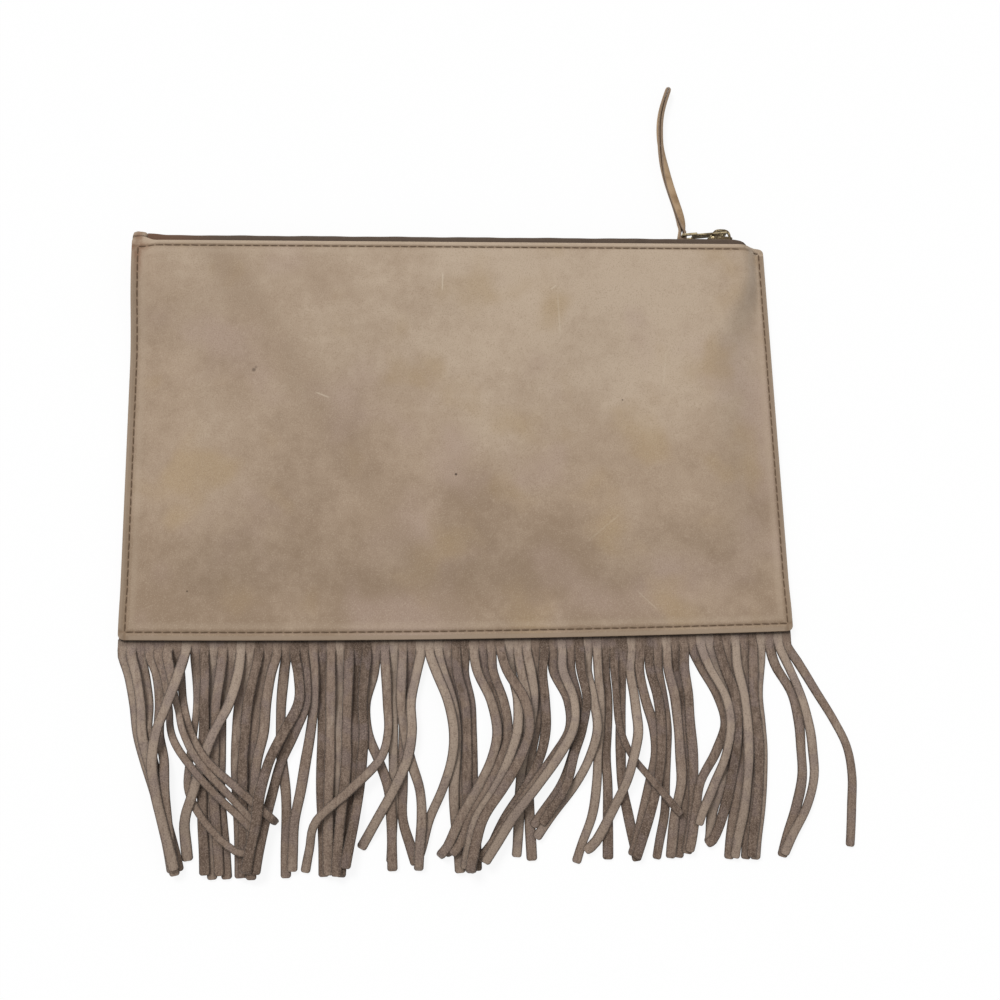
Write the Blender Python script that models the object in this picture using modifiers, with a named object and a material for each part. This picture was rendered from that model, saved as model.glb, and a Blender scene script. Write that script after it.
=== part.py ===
"""A fringed zip clutch lying on its back: two leather panels, a suede fringe and a coil zip.

Metres, +Z up. The origin is the middle of the back panel's underside, +Y runs towards
the zip, and the fringe lies towards -Y.
"""

import math
import random

import bmesh
import bpy
import numpy as np
from mathutils import Vector

MM = 0.001

# Bag panels
BAG_WIDTH = 305 * MM
TOP_Y = 93.8 * MM
HEM_CORNER_Y = -94.3 * MM
HEM_BOW = 1.6 * MM
CORNER_RADIUS = 4 * MM
LEATHER = 1.3 * MM
SEAM_BAND = 4 * MM
GAP = 0.3 * MM

# How far the front panel stands up over its seams
BELLY_RISE = 6.2 * MM
MOUTH_INNER = 11 * MM
SIDE_SLOPE_MIDDLE = 30 * MM
SIDE_SLOPE_TOP = 9.2 * MM
SIDE_SLOPE_FROM = 35 * MM
SIDE_SLOPE_OVER = 45 * MM
BELLY_RUN = 45 * MM
MOUTH_FROM = -12 * MM
SEAM_RUN = 16 * MM
CALM_RUN = 30 * MM
CORNER_LIFT = 8.6 * MM
LIFT_FROM = 35 * MM
LIFT_RUN = 50 * MM
WAVE = 0.6 * MM

# Waves of the front panel: turns per metre across and along, start, share of the height
WAVES = ((62, -38, 0.9, 1.0), (101, 27, 2.2, 0.6))

# Fringe
SUEDE = 1.0 * MM
HEADER_TUCK = 8 * MM
HEADER_DROP = 3.3 * MM
FRINGE_LENGTH = 100 * MM
FRINGE_EDGE = 1.0 * MM
STRAND_SLIT = 0.4 * MM
STRAND_STEPS = 9
ROOT_SHIFT = -0.5 * MM
ROOT_STRAIGHT = 3 * MM
TIP_ROUND = 1.2 * MM
TIP_SHARE = 0.55
TIP_CARRY = 0.6
UNEVEN_TIPS = 1.2 * MM
HANG_RUN = 14 * MM
LAY_CLEARANCE = 0.15 * MM
LAY_MARGIN = 0.05 * MM

# Height map in which the strands are laid over one another
MAP_CELL = 0.3 * MM
MAP_OVERSAMPLE = 1.6
MAP_BESIDE = 45 * MM
MAP_BELOW = 120 * MM
MAP_ABOVE = 20 * MM

# Zip
TAPE = 0.6 * MM
TAPE_TUCK = 11.7 * MM
TAPE_BEND = 0.6 * MM
ZIP_STAND = 2.8 * MM
COIL_WIDTH = 2.15 * MM
COIL_THICK = 1.8 * MM
COIL_SPLIT = 0.15 * MM
COIL_PARTING = 0.6 * MM
PARTING_START = 2 * MM
STOP_LENGTH = 1.4 * MM
STOP_THICK = 2.4 * MM
STOP_EDGE = 0.3 * MM
ZIP_END_MARGIN = 1.2 * MM

# Slider and pull
SLIDER_LENGTH = 12.5 * MM
SLIDER_WIDTH = 8.6 * MM
SLIDER_PLATE = 1.1 * MM
SLIDER_CORNER = 2.6 * MM
FLANGE_WIDTH = 1.1 * MM
FLANGE_INSET = 0.05 * MM
FLANGE_END_SHARE = 0.7
DIVIDER_WIDTH = 0.9 * MM
DIVIDER_LENGTH = 3 * MM
DIVIDER_SETBACK = 1.2 * MM
BRIDGE_STRIP = 0.9 * MM
BRIDGE_WIDTH = 1.4 * MM
BRIDGE_ROOM = 0.7 * MM
BRIDGE_REACH = 4.2 * MM
BRIDGE_OFFSET = 1.2 * MM
BRIDGE_STEPS = 10
TAB_THICK = 1.2 * MM
TAB_WIDTH = 7 * MM
TAB_LENGTH = 22.9 * MM
TAB_BAR = 1.2 * MM
TAB_STAND = 2.8 * MM
TAB_LEAN = math.radians(5.5)
TAB_HINGE_OFFSET = 3.2 * MM
EYE_LENGTH = 7.7 * MM
NECK_WIDTH = 4.2 * MM
NECK_INSET = 0.1 * MM
TAB_EDGE = 0.35 * MM
SLOT_CORNER = 0.5 * MM
BRIDGE_SLOT_LENGTH = 7.2 * MM
STRAP_SLOT_LENGTH = 4.6 * MM

# Leather strap folded double through the pull tab
STRAP_LENGTH = 83.3 * MM
STRAP_WIDTH = 4.5 * MM
STRAP_THICK = 1.3 * MM
STRAP_FOLD_GAP = 0.4 * MM
STRAP_LOOP_CLEARANCE = 0.55 * MM
STRAP_SPREAD_RUN = 11 * MM
STRAP_LOOP_STEPS = 8

# Values that follow from the sizes above
HALF_WIDTH = BAG_WIDTH / 2
BACK_TOP = LEATHER
SEAM_LOW = BACK_TOP + GAP
FRINGE_LOW = BACK_TOP + GAP
TAPE_EDGE_Y = TOP_Y - TAPE_TUCK
TAPE_LENGTH = BAG_WIDTH - 2 * (SEAM_BAND + SIDE_SLOPE_TOP + GAP)
HEM_LOW = FRINGE_LOW + SUEDE + GAP
MOUTH_RISE = MOUTH_INNER - GAP
ZIP_Z = BACK_TOP + MOUTH_INNER / 2
ZIP_Y = TOP_Y + ZIP_STAND
COIL_OUTER = COIL_SPLIT + COIL_WIDTH
TAPE_INNER = COIL_OUTER + GAP
TAPE_LEG = MOUTH_INNER / 2 - GAP - TAPE / 2
SLIDER_HEIGHT = COIL_THICK + 2 * (GAP + SLIDER_PLATE)
SLIDER_TOP = ZIP_Y + SLIDER_HEIGHT / 2
SLIDER_END_X = TAPE_LENGTH / 2 - ZIP_END_MARGIN - STOP_LENGTH - GAP
SLIDER_X = SLIDER_END_X - SLIDER_LENGTH / 2
HINGE_Y = SLIDER_TOP + TAB_STAND + TAB_THICK / 2
HINGE_X = SLIDER_X + TAB_HINGE_OFFSET
STRAP_BAR_REACH = TAB_LENGTH - TAB_BAR
STRAP_BAR_X = HINGE_X - STRAP_BAR_REACH * math.cos(TAB_LEAN)
STRAP_BAR_Y = HINGE_Y - STRAP_BAR_REACH * math.sin(TAB_LEAN)
BOTTOM_STOP_X = -TAPE_LENGTH / 2 + ZIP_END_MARGIN

# Panel grid lines, as distances from the nearer side and from the hem
SIDE_LINES = [n * MM for n in (0, 2, 4, 6.4, 8.8, 11, 13.2, 18, 25, 34, 46, 60, 78, 96, 115, 134)]
HEM_LINES = [n * MM for n in (0, 1.2, 4, 8.6, 14, 21, 30, 42, 56, 72, 90, 108)]
TOP_LINES = [n * MM for n in (67, 54, 43, 34, 26, 19, 12, 7, 4, 1.2, 0)]

# The strands' sideways places are set at these hundredths of the fringe's length
SWAY_STATIONS = [FRINGE_LENGTH * n / 100 for n in (15, 28, 41, 53, 66, 79, 91)]

# How many of the locks' steps go to the bag's width, and to an even strand's width
BAG_STEPS = 305
STRAND_STEPS_WIDE = 3.6

# Locks of the fringe, from left to right: first and last strand, laying order (a higher
# number lies on top), the strands' width in steps and their length in hundredths of the
# fringe's, then the sideways places in steps of the first strand and of the last.
# Strands between the two are blended.
LOCKS = (
    (0, 2, 0, 3.6, 100, (-147.5, -144.5, -142.5, -139, -134.5, -130.5, -127.5),
     (-140.5, -138.5, -138.5, -135.5, -131.5, -128.5, -125)),
    (3, 3, 0, 3.5, 98, (-135, -133.5, -133.5, -130.5, -129.8, -128, -126), None),
    (4, 4, 2, 2.3, 84, (-131.5, -129.5, -128, -120.5, -109, -95, -84), None),
    (5, 5, 2, 2.3, 81, (-128.5, -126, -122, -115.5, -103.5, -91, -79), None),
    (6, 6, 2, 2.4, 80, (-125, -123, -119, -111.5, -97, -82, -70), None),
    (7, 7, 3, 3.7, 98, (-125, -129.5, -134, -135.5, -133.5, -130, -126.5), None),
    (8, 8, 1, 2.3, 93, (-117.8, -117.5, -118.5, -120, -119.5, -112, -99), None),
    (9, 12, 0, 3.6, 102, (-114, -114, -113.8, -114.5, -114, -113.5, -112.5),
     (-104, -106.3, -106.5, -106.5, -106.5, -105, -103.5)),
    (13, 13, 1, 3.7, 96, (-99.5, -103, -109.5, -114, -117.5, -121, -120), None),
    (14, 17, 0, 3.6, 102, (-96, -99, -99.8, -99.8, -99, -98, -97.5),
     (-85, -87, -88, -90.5, -91.5, -92, -92)),
    (18, 18, 0, 3.6, 102, (-79.5, -80.5, -80.5, -79.8, -78, -77.5, -77.5), None),
    (19, 19, 3, 3.7, 101, (-72.8, -72.5, -79, -85, -88.5, -90, -92.5), None),
    (20, 20, 1, 3.6, 101, (-69.5, -69.5, -74.5, -80, -83.5, -86.5, -88.8), None),
    (21, 21, 0, 3.6, 101, (-66, -66, -67.5, -69.5, -71.5, -74, -74.5), None),
    (22, 26, 0, 3.6, 102, (-62.5, -62.3, -62.3, -62.5, -62.5, -62, -61.5),
     (-46.8, -47.5, -48, -48, -49.5, -51.5, -53)),
    (27, 27, 1, 3.5, 100, (-43.5, -44.5, -44, -44.8, -46, -48, -50.5), None),
    (28, 28, 1, 3.6, 100, (-39.5, -43.3, -42.3, -37.5, -33, -32, -31.8), None),
    (29, 29, 2, 2.8, 100, (-34, -33.5, -33.3, -37, -50, -64.5, -67.5), None),
    (30, 30, 0, 3.5, 98, (-30.5, -31, -31, -31, -30.8, -31.5, -32), None),
    (31, 31, 1, 3.5, 100, (-27, -27.5, -26, -23.5, -19.5, -18.8, -19.8), None),
    (32, 32, 0, 3.5, 99, (-24, -26, -26.5, -26.8, -27, -27, -23.5), None),
    (33, 33, 2, 3.6, 92, (-20.5, -23, -22.8, -25, -31, -38.5, -45.5), None),
    (34, 34, 1, 3.0, 96, (-11.5, -6.5, -4.2, -5.2, -9.5, -15.5, -19), None),
    (35, 38, 0, 3.6, 101, (-8.5, -4.5, -2.8, -3.5, -4.5, -4.2, -3),
     (1, 3.7, 4, 4, 4, 5, 5)),
    (39, 41, 1, 3.5, 94, (7, 12.8, 15.2, 12.5, 6, -2, -8),
     (14, 18.5, 20, 17, 10.5, 2.5, -3)),
    (42, 42, 2, 3.6, 101, (20, 27.5, 29.3, 25, 17, 8, 4), None),
    (43, 44, 1, 3.5, 100, (22.5, 24.5, 24, 20, 13.5, 5, 1.5),
     (26.5, 28.5, 27, 22.5, 16, 7.5, 3.5)),
    (45, 45, 0, 3.6, 95, (31, 32, 30, 26.5, 24.8, 24, 23), None),
    (46, 46, 0, 3.6, 97, (33.5, 34, 32.5, 30, 28.8, 28.7, 29), None),
    (47, 47, 1, 3.5, 97, (36.3, 37, 37, 34, 27, 18, 11.5), None),
    (48, 49, 2, 3.5, 97, (41.5, 47.5, 47.8, 40, 30, 19.5, 11),
     (45.5, 50, 49, 42, 32, 21, 13)),
    (50, 51, 1, 3.3, 83, (49.5, 52, 51.5, 48.5, 43, 33, 24),
     (53.5, 55.5, 53.5, 49, 45, 36, 27)),
    (52, 52, 1, 3.3, 88, (57, 58.7, 60, 56.5, 49, 38, 29), None),
    (53, 53, 0, 3.3, 99, (61.5, 62, 61.5, 60, 59, 56.5, 51.5), None),
    (54, 54, 0, 3.6, 99, (65, 65.5, 64.8, 63.8, 64, 63.5, 63), None),
    (55, 55, 2, 2.3, 81, (69, 69.5, 70.5, 75, 84.5, 95, 104), None),
    (56, 56, 0, 3.6, 99, (72.5, 71.8, 71, 70.5, 70.5, 72.5, 74.5), None),
    (57, 57, 3, 3.5, 94, (76.5, 78, 78.5, 76, 71.5, 64.5, 57), None),
    (58, 59, 1, 3.6, 98, (80.8, 82.8, 86, 86.2, 83, 79, 75.5),
     (85.5, 88.5, 89.3, 88.5, 86, 82, 77.5)),
    (60, 60, 0, 3.2, 99, (89.5, 91.3, 92.2, 91.3, 90.2, 89, 86), None),
    (61, 63, 0, 3.6, 98, (93.5, 96, 97, 97.2, 97, 93.5, 91.5),
     (101, 102.3, 102.6, 103, 102.5, 101.3, 99)),
    (64, 64, 1, 3.4, 96, (109.5, 116, 118.8, 113.5, 105.5, 102.5, 100), None),
    (65, 65, 1, 3.3, 86, (112.5, 118.8, 120.5, 118, 112.5, 105.5, 101), None),
    (66, 67, 0, 3.6, 94, (116.5, 121.5, 122.2, 120.5, 116, 110.5, 108.5),
     (119.5, 123.5, 124, 122.5, 119.5, 115.5, 110)),
    (68, 69, 0, 3.6, 99, (122, 125.5, 126.3, 125.5, 123.5, 120.5, 118),
     (125.5, 127.8, 128.5, 128.2, 127, 124.5, 121)),
    (70, 72, 0, 3.6, 100, (129, 130, 131, 131, 130, 128, 125.5),
     (136.8, 134.5, 134.8, 135, 133.8, 131.8, 129.5)),
    (73, 73, 0, 3.6, 101, (143.8, 150.5, 152.8, 152.8, 152.3, 148.5, 143.5), None),
    (74, 74, 1, 3.4, 99, (148.8, 154, 156.8, 158, 157.8, 153, 145.5), None),
    (75, 75, 0, 3.2, 98, (155, 162, 169, 174, 175.3, 174, 172.5), None),
)

STRAND_COUNT = LOCKS[-1][1] + 1
STRAND_PITCH = (BAG_WIDTH - FRINGE_EDGE) / STRAND_COUNT
STRAND_WIDTH = STRAND_PITCH - STRAND_SLIT

# The strap's middle line: across and along from the tab's end bar, how far it has sunk
# towards the table, and its turn from standing on its edge to lying face up. Its length
# is counted in so many steps.
STRAP_STEPS = 82.5
STRAP_ROUTE = (
    (0.2, 4, 0.1, 0),
    (0.6, 7.5, 0.3, 40),
    (0.1, 11, 0.6, 75),
    (-1.2, 16, 1.0, 88),
    (-3.2, 24, 1.7, 88),
    (-5.0, 33, 2.6, 72),
    (-6.3, 42, 3.4, 38),
    (-7.0, 51, 3.9, 12),
    (-7.0, 60, 4.2, 2),
    (-5.9, 69, 4.4, 0),
    (-3.4, 77, 4.5, 0),
    (-1.4, 82.5, 4.5, 0),
)


def clear_scene():
    """Empty the scene of every object."""
    for thing in list(bpy.data.objects):
        bpy.data.objects.remove(thing, do_unlink=True)


def new_collection(name, hidden=False):
    """A collection linked to the scene."""
    group = bpy.data.collections.new(name)
    bpy.context.scene.collection.children.link(group)
    group.hide_render = hidden
    return group


def new_material(name, color, roughness, metallic=0.0):
    """A Principled material of one colour."""
    made = bpy.data.materials.new(name)
    made.use_nodes = True
    shader = made.node_tree.nodes["Principled BSDF"]
    shader.inputs["Base Color"].default_value = (*color, 1)
    shader.inputs["Roughness"].default_value = roughness
    shader.inputs["Metallic"].default_value = metallic
    return made


def place(name, mesh, group, made=None, origin=(0, 0, 0)):
    """An object whose mesh, given in world places, is hung on an origin."""
    thing = bpy.data.objects.new(name, mesh)
    group.objects.link(thing)
    centre = Vector(origin)
    for corner in mesh.vertices:
        corner.co -= centre
    thing.location = centre
    if made:
        mesh.materials.append(made)
    return thing


def step(t):
    """A smooth step from 0 to 1."""
    t = min(max(t, 0.0), 1.0)
    return t * t * (3 - 2 * t)


def blend(a, b, t):
    """The value that is a share t of the way from a to b."""
    return a + (b - a) * t


def smooth_through(places, values, at):
    """The value at a place on a smooth curve through the given ones."""
    last = len(places) - 2
    n = min(max(sum(1 for p in places[1:-1] if at >= p), 0), last)
    low, high = places[n], places[n + 1]
    span = high - low
    slopes = []
    for k in (n, n + 1):
        before, after = max(k - 1, 0), min(k + 1, len(places) - 1)
        slopes.append((values[after] - values[before]) / (places[after] - places[before]))
    t = (at - low) / span
    rise = (1 + 2 * t) * (1 - t) ** 2 * values[n] + t * t * (3 - 2 * t) * values[n + 1]
    return rise + span * (t * (1 - t) ** 2 * slopes[0] + t * t * (t - 1) * slopes[1])


def sheet_mesh(name, rows):
    """An open surface through rows of points, all of one length."""
    mesh = bpy.data.meshes.new(name)
    form = bmesh.new()
    grid = [[form.verts.new(point) for point in row] for row in rows]
    for upper, lower in zip(grid, grid[1:]):
        for n in range(len(upper) - 1):
            form.faces.new((upper[n], lower[n], lower[n + 1], upper[n + 1]))
    form.to_mesh(mesh)
    form.free()
    return mesh


def thicken(thing, thickness, offset):
    """Give an open surface its thickness: offset 1 grows along its normals, 0 both ways."""
    solid = thing.modifiers.new("Thickness", "SOLIDIFY")
    solid.thickness = thickness
    solid.offset = offset
    solid.use_even_offset = True


def block(name, low, high, group, made=None, corner=0.0, along=None, origin=(0, 0, 0)):
    """A box between two corners, with its edges along one axis (or all) rounded."""
    mesh = bpy.data.meshes.new(name)
    form = bmesh.new()
    bmesh.ops.create_cube(form, size=1)
    size = Vector(high) - Vector(low)
    middle = (Vector(high) + Vector(low)) / 2
    for corner_point in form.verts:
        corner_point.co = Vector(c * s for c, s in zip(corner_point.co, size)) + middle
    if corner:
        edges = [
            edge
            for edge in form.edges
            if along is None
            or abs((edge.verts[0].co - edge.verts[1].co)[along]) > 0.5 * size[along]
        ]
        bmesh.ops.bevel(form, geom=edges, offset=corner, segments=3, profile=0.5, affect="EDGES")
    form.to_mesh(mesh)
    form.free()
    return place(name, mesh, group, made, origin)


def join_or_cut(thing, other, operation):
    """Join or cut with a helper that isn't part of the object."""
    other.hide_render = True
    other.display_type = "WIRE"
    change = thing.modifiers.new(other.name, "BOOLEAN")
    change.operation = operation
    change.solver = "EXACT"
    change.object = other


def hem_y(x):
    """The hem's place along Y, which bows a little towards the fringe."""
    return HEM_CORNER_Y - HEM_BOW * (1 - (x / HALF_WIDTH) ** 2)


def corner_lift(x, y):
    """How far the seam curls up off the table at the zip's left end."""
    from_side = HALF_WIDTH + x
    along = step((y - LIFT_FROM) / LIFT_RUN)
    return CORNER_LIFT * along * (1 - step((from_side - SEAM_BAND) / SIDE_SLOPE_TOP))


def front_low(x, y):
    """Height of the front panel's underside."""
    from_side = HALF_WIDTH - abs(x)
    from_hem = y - hem_y(x)
    narrowing = step((y - SIDE_SLOPE_FROM) / SIDE_SLOPE_OVER)
    slope = blend(SIDE_SLOPE_MIDDLE, SIDE_SLOPE_TOP, narrowing)
    side = step((from_side - SEAM_BAND) / slope)
    hem = step((from_hem - HEADER_TUCK) / BELLY_RUN)
    mouth = step((y - MOUTH_FROM) / (TAPE_EDGE_Y - MOUTH_FROM))
    rise = BELLY_RISE * hem + (MOUTH_RISE - BELLY_RISE) * mouth
    seam = blend(HEM_LOW, SEAM_LOW, step((from_hem - HEADER_TUCK - GAP) / SEAM_RUN))
    calm = side * step((from_hem - HEADER_TUCK) / CALM_RUN) * step((TAPE_EDGE_Y - y) / CALM_RUN)
    wave = sum(share * math.sin(a * x + b * y + start) for a, b, start, share in WAVES)
    curl = CORNER_LIFT * step((y - LIFT_FROM) / LIFT_RUN) if x < 0 else 0.0
    return seam + blend(curl, rise, side) + WAVE * wave * calm


def panel_rows(height):
    """Rows of points over a bag panel, with rounded corners."""
    rows = []
    for n in range(len(HEM_LINES) + len(TOP_LINES)):
        row = []
        if n < len(HEM_LINES):
            from_edge = HEM_LINES[n]
        else:
            from_edge = TOP_LINES[n - len(HEM_LINES)]
        short = max(CORNER_RADIUS - from_edge, 0)
        half = HALF_WIDTH - CORNER_RADIUS + math.sqrt(CORNER_RADIUS**2 - short**2)
        shares = [1 - line / HALF_WIDTH for line in SIDE_LINES]
        for share in [-s for s in shares] + [0] + shares[::-1]:
            x = half * share
            y = hem_y(x) + from_edge if n < len(HEM_LINES) else TOP_Y - from_edge
            row.append((x, y, height(x, y)))
        rows.append(row)
    return rows[::-1]


def make_panels(group, leather):
    """The back panel, flat on the table, and the front panel domed over it."""
    back = place("back_panel", sheet_mesh("back_panel", panel_rows(corner_lift)), group, leather)
    thicken(back, LEATHER, 1)
    front = place("front_panel", sheet_mesh("front_panel", panel_rows(front_low)), group, leather)
    thicken(front, LEATHER, 1)
    return front, back


def strand_root(number):
    """Where a strand leaves the header, across the bag."""
    return (number - (STRAND_COUNT - 1) / 2) * STRAND_PITCH + ROOT_SHIFT


def strand_plans():
    """Every strand's place across the bag at its stations, with its width and order."""
    plans = []
    chance = random.Random(STRAND_COUNT)
    scale = BAG_WIDTH / BAG_STEPS
    for first, last, order, width, length, path, last_path in LOCKS:
        for number in range(first, last + 1):
            share = (number - first) / max(last - first, 1)
            ends = zip(path, last_path or path)
            across = [blend(a, b, share) * scale for a, b in ends]
            uneven = chance.uniform(-UNEVEN_TIPS, UNEVEN_TIPS)
            wide = STRAND_WIDTH * width / STRAND_STEPS_WIDE
            plans.append((number, order, wide, FRINGE_LENGTH * length / 100 + uneven, across))
    return plans


def strand_places(plan):
    """Distances below the hem, places across, and widths at a strand's mesh steps."""
    number, _, width, length, across = plan
    root = strand_root(number)
    free = HEADER_DROP + ROOT_STRAIGHT
    known = [HEADER_DROP, free, *SWAY_STATIONS]
    values = [root, root, *across]
    if length > known[-1]:
        known.append(length)
        values.append(values[-1] + (values[-1] - values[-2]) * TIP_CARRY)
    steps = [blend(free, length - TIP_ROUND, k / STRAND_STEPS) for k in range(STRAND_STEPS + 1)]
    downs = [HEADER_DROP, *steps, length]
    found = [smooth_through(known, values, down) for down in downs]
    widths = [blend(STRAND_WIDTH, width, step(down / SWAY_STATIONS[1])) for down in downs]
    widths[-1] = width * TIP_SHARE
    return downs, found, widths


def strand_edges(downs, across, widths):
    """Left and right edge points, square to the strand's run, without height."""
    points = [Vector((x, hem_y(x) - down)) for x, down in zip(across, downs)]
    points[0].y = hem_y(points[0].x) - HEADER_DROP
    left, right = [], []
    for n, point in enumerate(points):
        before, after = points[max(n - 1, 0)], points[min(n + 1, len(points) - 1)]
        run = (after - before).normalized() if n else Vector((0, -1))
        side = Vector((-run.y, run.x)) * widths[n] / 2
        left.append(point - side)
        right.append(point + side)
    return left, right


def lay_strands(plans):
    """Heights for every strand: each one rests on those that were laid before it."""
    low = Vector((-HALF_WIDTH - MAP_BESIDE, hem_y(0) - MAP_BELOW))
    wide, high = 2 * (HALF_WIDTH + MAP_BESIDE), MAP_BELOW + MAP_ABOVE
    tops = np.zeros((int(wide / MAP_CELL), int(high / MAP_CELL)))
    heights = {}
    order = sorted(plans, key=lambda plan: (plan[1], plan[0] % 2, plan[0]))
    for plan in order:
        downs, across, widths = strand_places(plan)
        left, right = strand_edges(downs, across, widths)
        spans, cells = [], []
        for n in range(len(downs) - 1):
            count = max(int((downs[n + 1] - downs[n]) / MAP_CELL), 1) + 1
            under = set()
            for k in range(count + 1):
                a = left[n].lerp(left[n + 1], k / count)
                b = right[n].lerp(right[n + 1], k / count)
                out = (b - a).normalized() * LAY_MARGIN
                a, b = a - out, b + out
                steps = int((b - a).length / MAP_CELL * MAP_OVERSAMPLE) + 1
                for m in range(steps + 1):
                    spot = (a.lerp(b, m / steps) - low) / MAP_CELL
                    under.add((int(spot.x), int(spot.y)))
            cells.append(under)
            spans.append(max(tops[cell] for cell in under))
        rest = []
        for n in range(len(downs)):
            near = max(spans[max(n - 1, 0)], spans[min(n, len(spans) - 1)])
            lying = near + LAY_CLEARANCE if near > 0 else 0.0
            hung = FRINGE_LOW * (1 - step((downs[n] - HEADER_DROP) / HANG_RUN))
            rest.append(max(lying, hung))
        rest[0] = FRINGE_LOW
        heights[plan[0]] = rest
        for n in range(1, len(cells)):
            covered = max(rest[n], rest[n + 1]) + SUEDE
            for cell in cells[n]:
                tops[cell] = max(tops[cell], covered)
    return heights


def make_fringe(group, suede):
    """The fringe, one piece of suede: a header caught in the hem seam, cut into strands."""
    mesh = bpy.data.meshes.new("fringe")
    form = bmesh.new()
    plans = strand_plans()
    heights = lay_strands(plans)
    upper, lower = [], []
    edge_x = []
    for plan in plans:
        root = strand_root(plan[0])
        edge_x += [root - STRAND_WIDTH / 2, root + STRAND_WIDTH / 2]
    for x in edge_x:
        upper.append(form.verts.new((x, hem_y(x) + HEADER_TUCK, FRINGE_LOW)))
        lower.append(form.verts.new((x, hem_y(x) - HEADER_DROP, FRINGE_LOW)))
    for n in range(len(edge_x) - 1):
        form.faces.new((upper[n], lower[n], lower[n + 1], upper[n + 1]))
    for k, plan in enumerate(plans):
        downs, across, widths = strand_places(plan)
        left, right = strand_edges(downs, across, widths)
        rest = heights[plan[0]]
        ends = [lower[2 * k], lower[2 * k + 1]]
        for n in range(1, len(downs)):
            pair = [form.verts.new((*left[n], rest[n])), form.verts.new((*right[n], rest[n]))]
            form.faces.new((ends[0], pair[0], pair[1], ends[1]))
            ends = pair
    form.to_mesh(mesh)
    form.free()
    fringe = place("fringe", mesh, group, suede)
    thicken(fringe, SUEDE, 1)
    return fringe


def parted_at(x):
    """How far each half of the zip is pushed aside by the slider's divider."""
    run = PARTING_START + DIVIDER_LENGTH / 2
    return COIL_PARTING * step((x - SLIDER_X + PARTING_START) / run)


def make_tape(name, side, group, cloth):
    """Half of the zip tape: its zip edge stands up, and its outer edge is under the panel."""
    section = (
        (0, TAPE_INNER),
        (0, TAPE_LEG - TAPE_BEND),
        (-0.3 * TAPE_BEND, TAPE_LEG - 0.3 * TAPE_BEND),
        (-TAPE_BEND, TAPE_LEG),
        (TAPE_EDGE_Y - ZIP_Y, TAPE_LEG),
    )
    stations = (
        -TAPE_LENGTH / 2,
        -TAPE_LENGTH / 4,
        0,
        TAPE_LENGTH / 4,
        SLIDER_X - PARTING_START,
        SLIDER_X + DIVIDER_LENGTH / 2,
        TAPE_LENGTH / 2,
    )
    rows = []
    for x in stations:
        parted = parted_at(x)
        row = [(x, ZIP_Y + section[0][0], ZIP_Z + side * (section[0][1] + parted))]
        row += [(x, ZIP_Y + y, ZIP_Z + side * z) for y, z in section[1:]]
        rows.append(row)
    tape = place(name, sheet_mesh(name, rows if side > 0 else rows[::-1]), group, cloth)
    thicken(tape, TAPE, 0)
    return tape


def make_coil(name, side, group, nylon):
    """Half of the nylon coil, as a bar of its outer size, parted by the slider's divider."""
    start = BOTTOM_STOP_X + STOP_LENGTH + GAP
    stations = (
        start,
        blend(start, SLIDER_X, 1 / 3),
        blend(start, SLIDER_X, 2 / 3),
        SLIDER_X - PARTING_START,
        SLIDER_X + DIVIDER_LENGTH / 2,
        SLIDER_END_X,
    )
    rows = []
    for x in stations:
        parted = parted_at(x)
        inner, outer = COIL_SPLIT + parted, COIL_OUTER + parted
        rows.append([(x, ZIP_Y, ZIP_Z + side * inner), (x, ZIP_Y, ZIP_Z + side * outer)])
    coil = place(name, sheet_mesh(name, rows if side > 0 else rows[::-1]), group, nylon)
    thicken(coil, COIL_THICK, 0)
    return coil


def make_stops(group, metal):
    """The stops at both ends of the coil."""
    half = STOP_THICK / 2
    start = SLIDER_END_X + GAP
    for name, side in (("top_stop_front", 1), ("top_stop_back", -1)):
        inner = ZIP_Z + side * (COIL_SPLIT + COIL_PARTING)
        outer = ZIP_Z + side * (COIL_OUTER + COIL_PARTING - GAP)
        low = (start, ZIP_Y - half, min(inner, outer))
        high = (start + STOP_LENGTH, ZIP_Y + half, max(inner, outer))
        block(name, low, high, group, metal, corner=STOP_EDGE)
    low = (BOTTOM_STOP_X, ZIP_Y - half, ZIP_Z - COIL_OUTER)
    high = (BOTTOM_STOP_X + STOP_LENGTH, ZIP_Y + half, ZIP_Z + COIL_OUTER)
    block("bottom_stop", low, high, group, metal, corner=STOP_EDGE)


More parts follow.
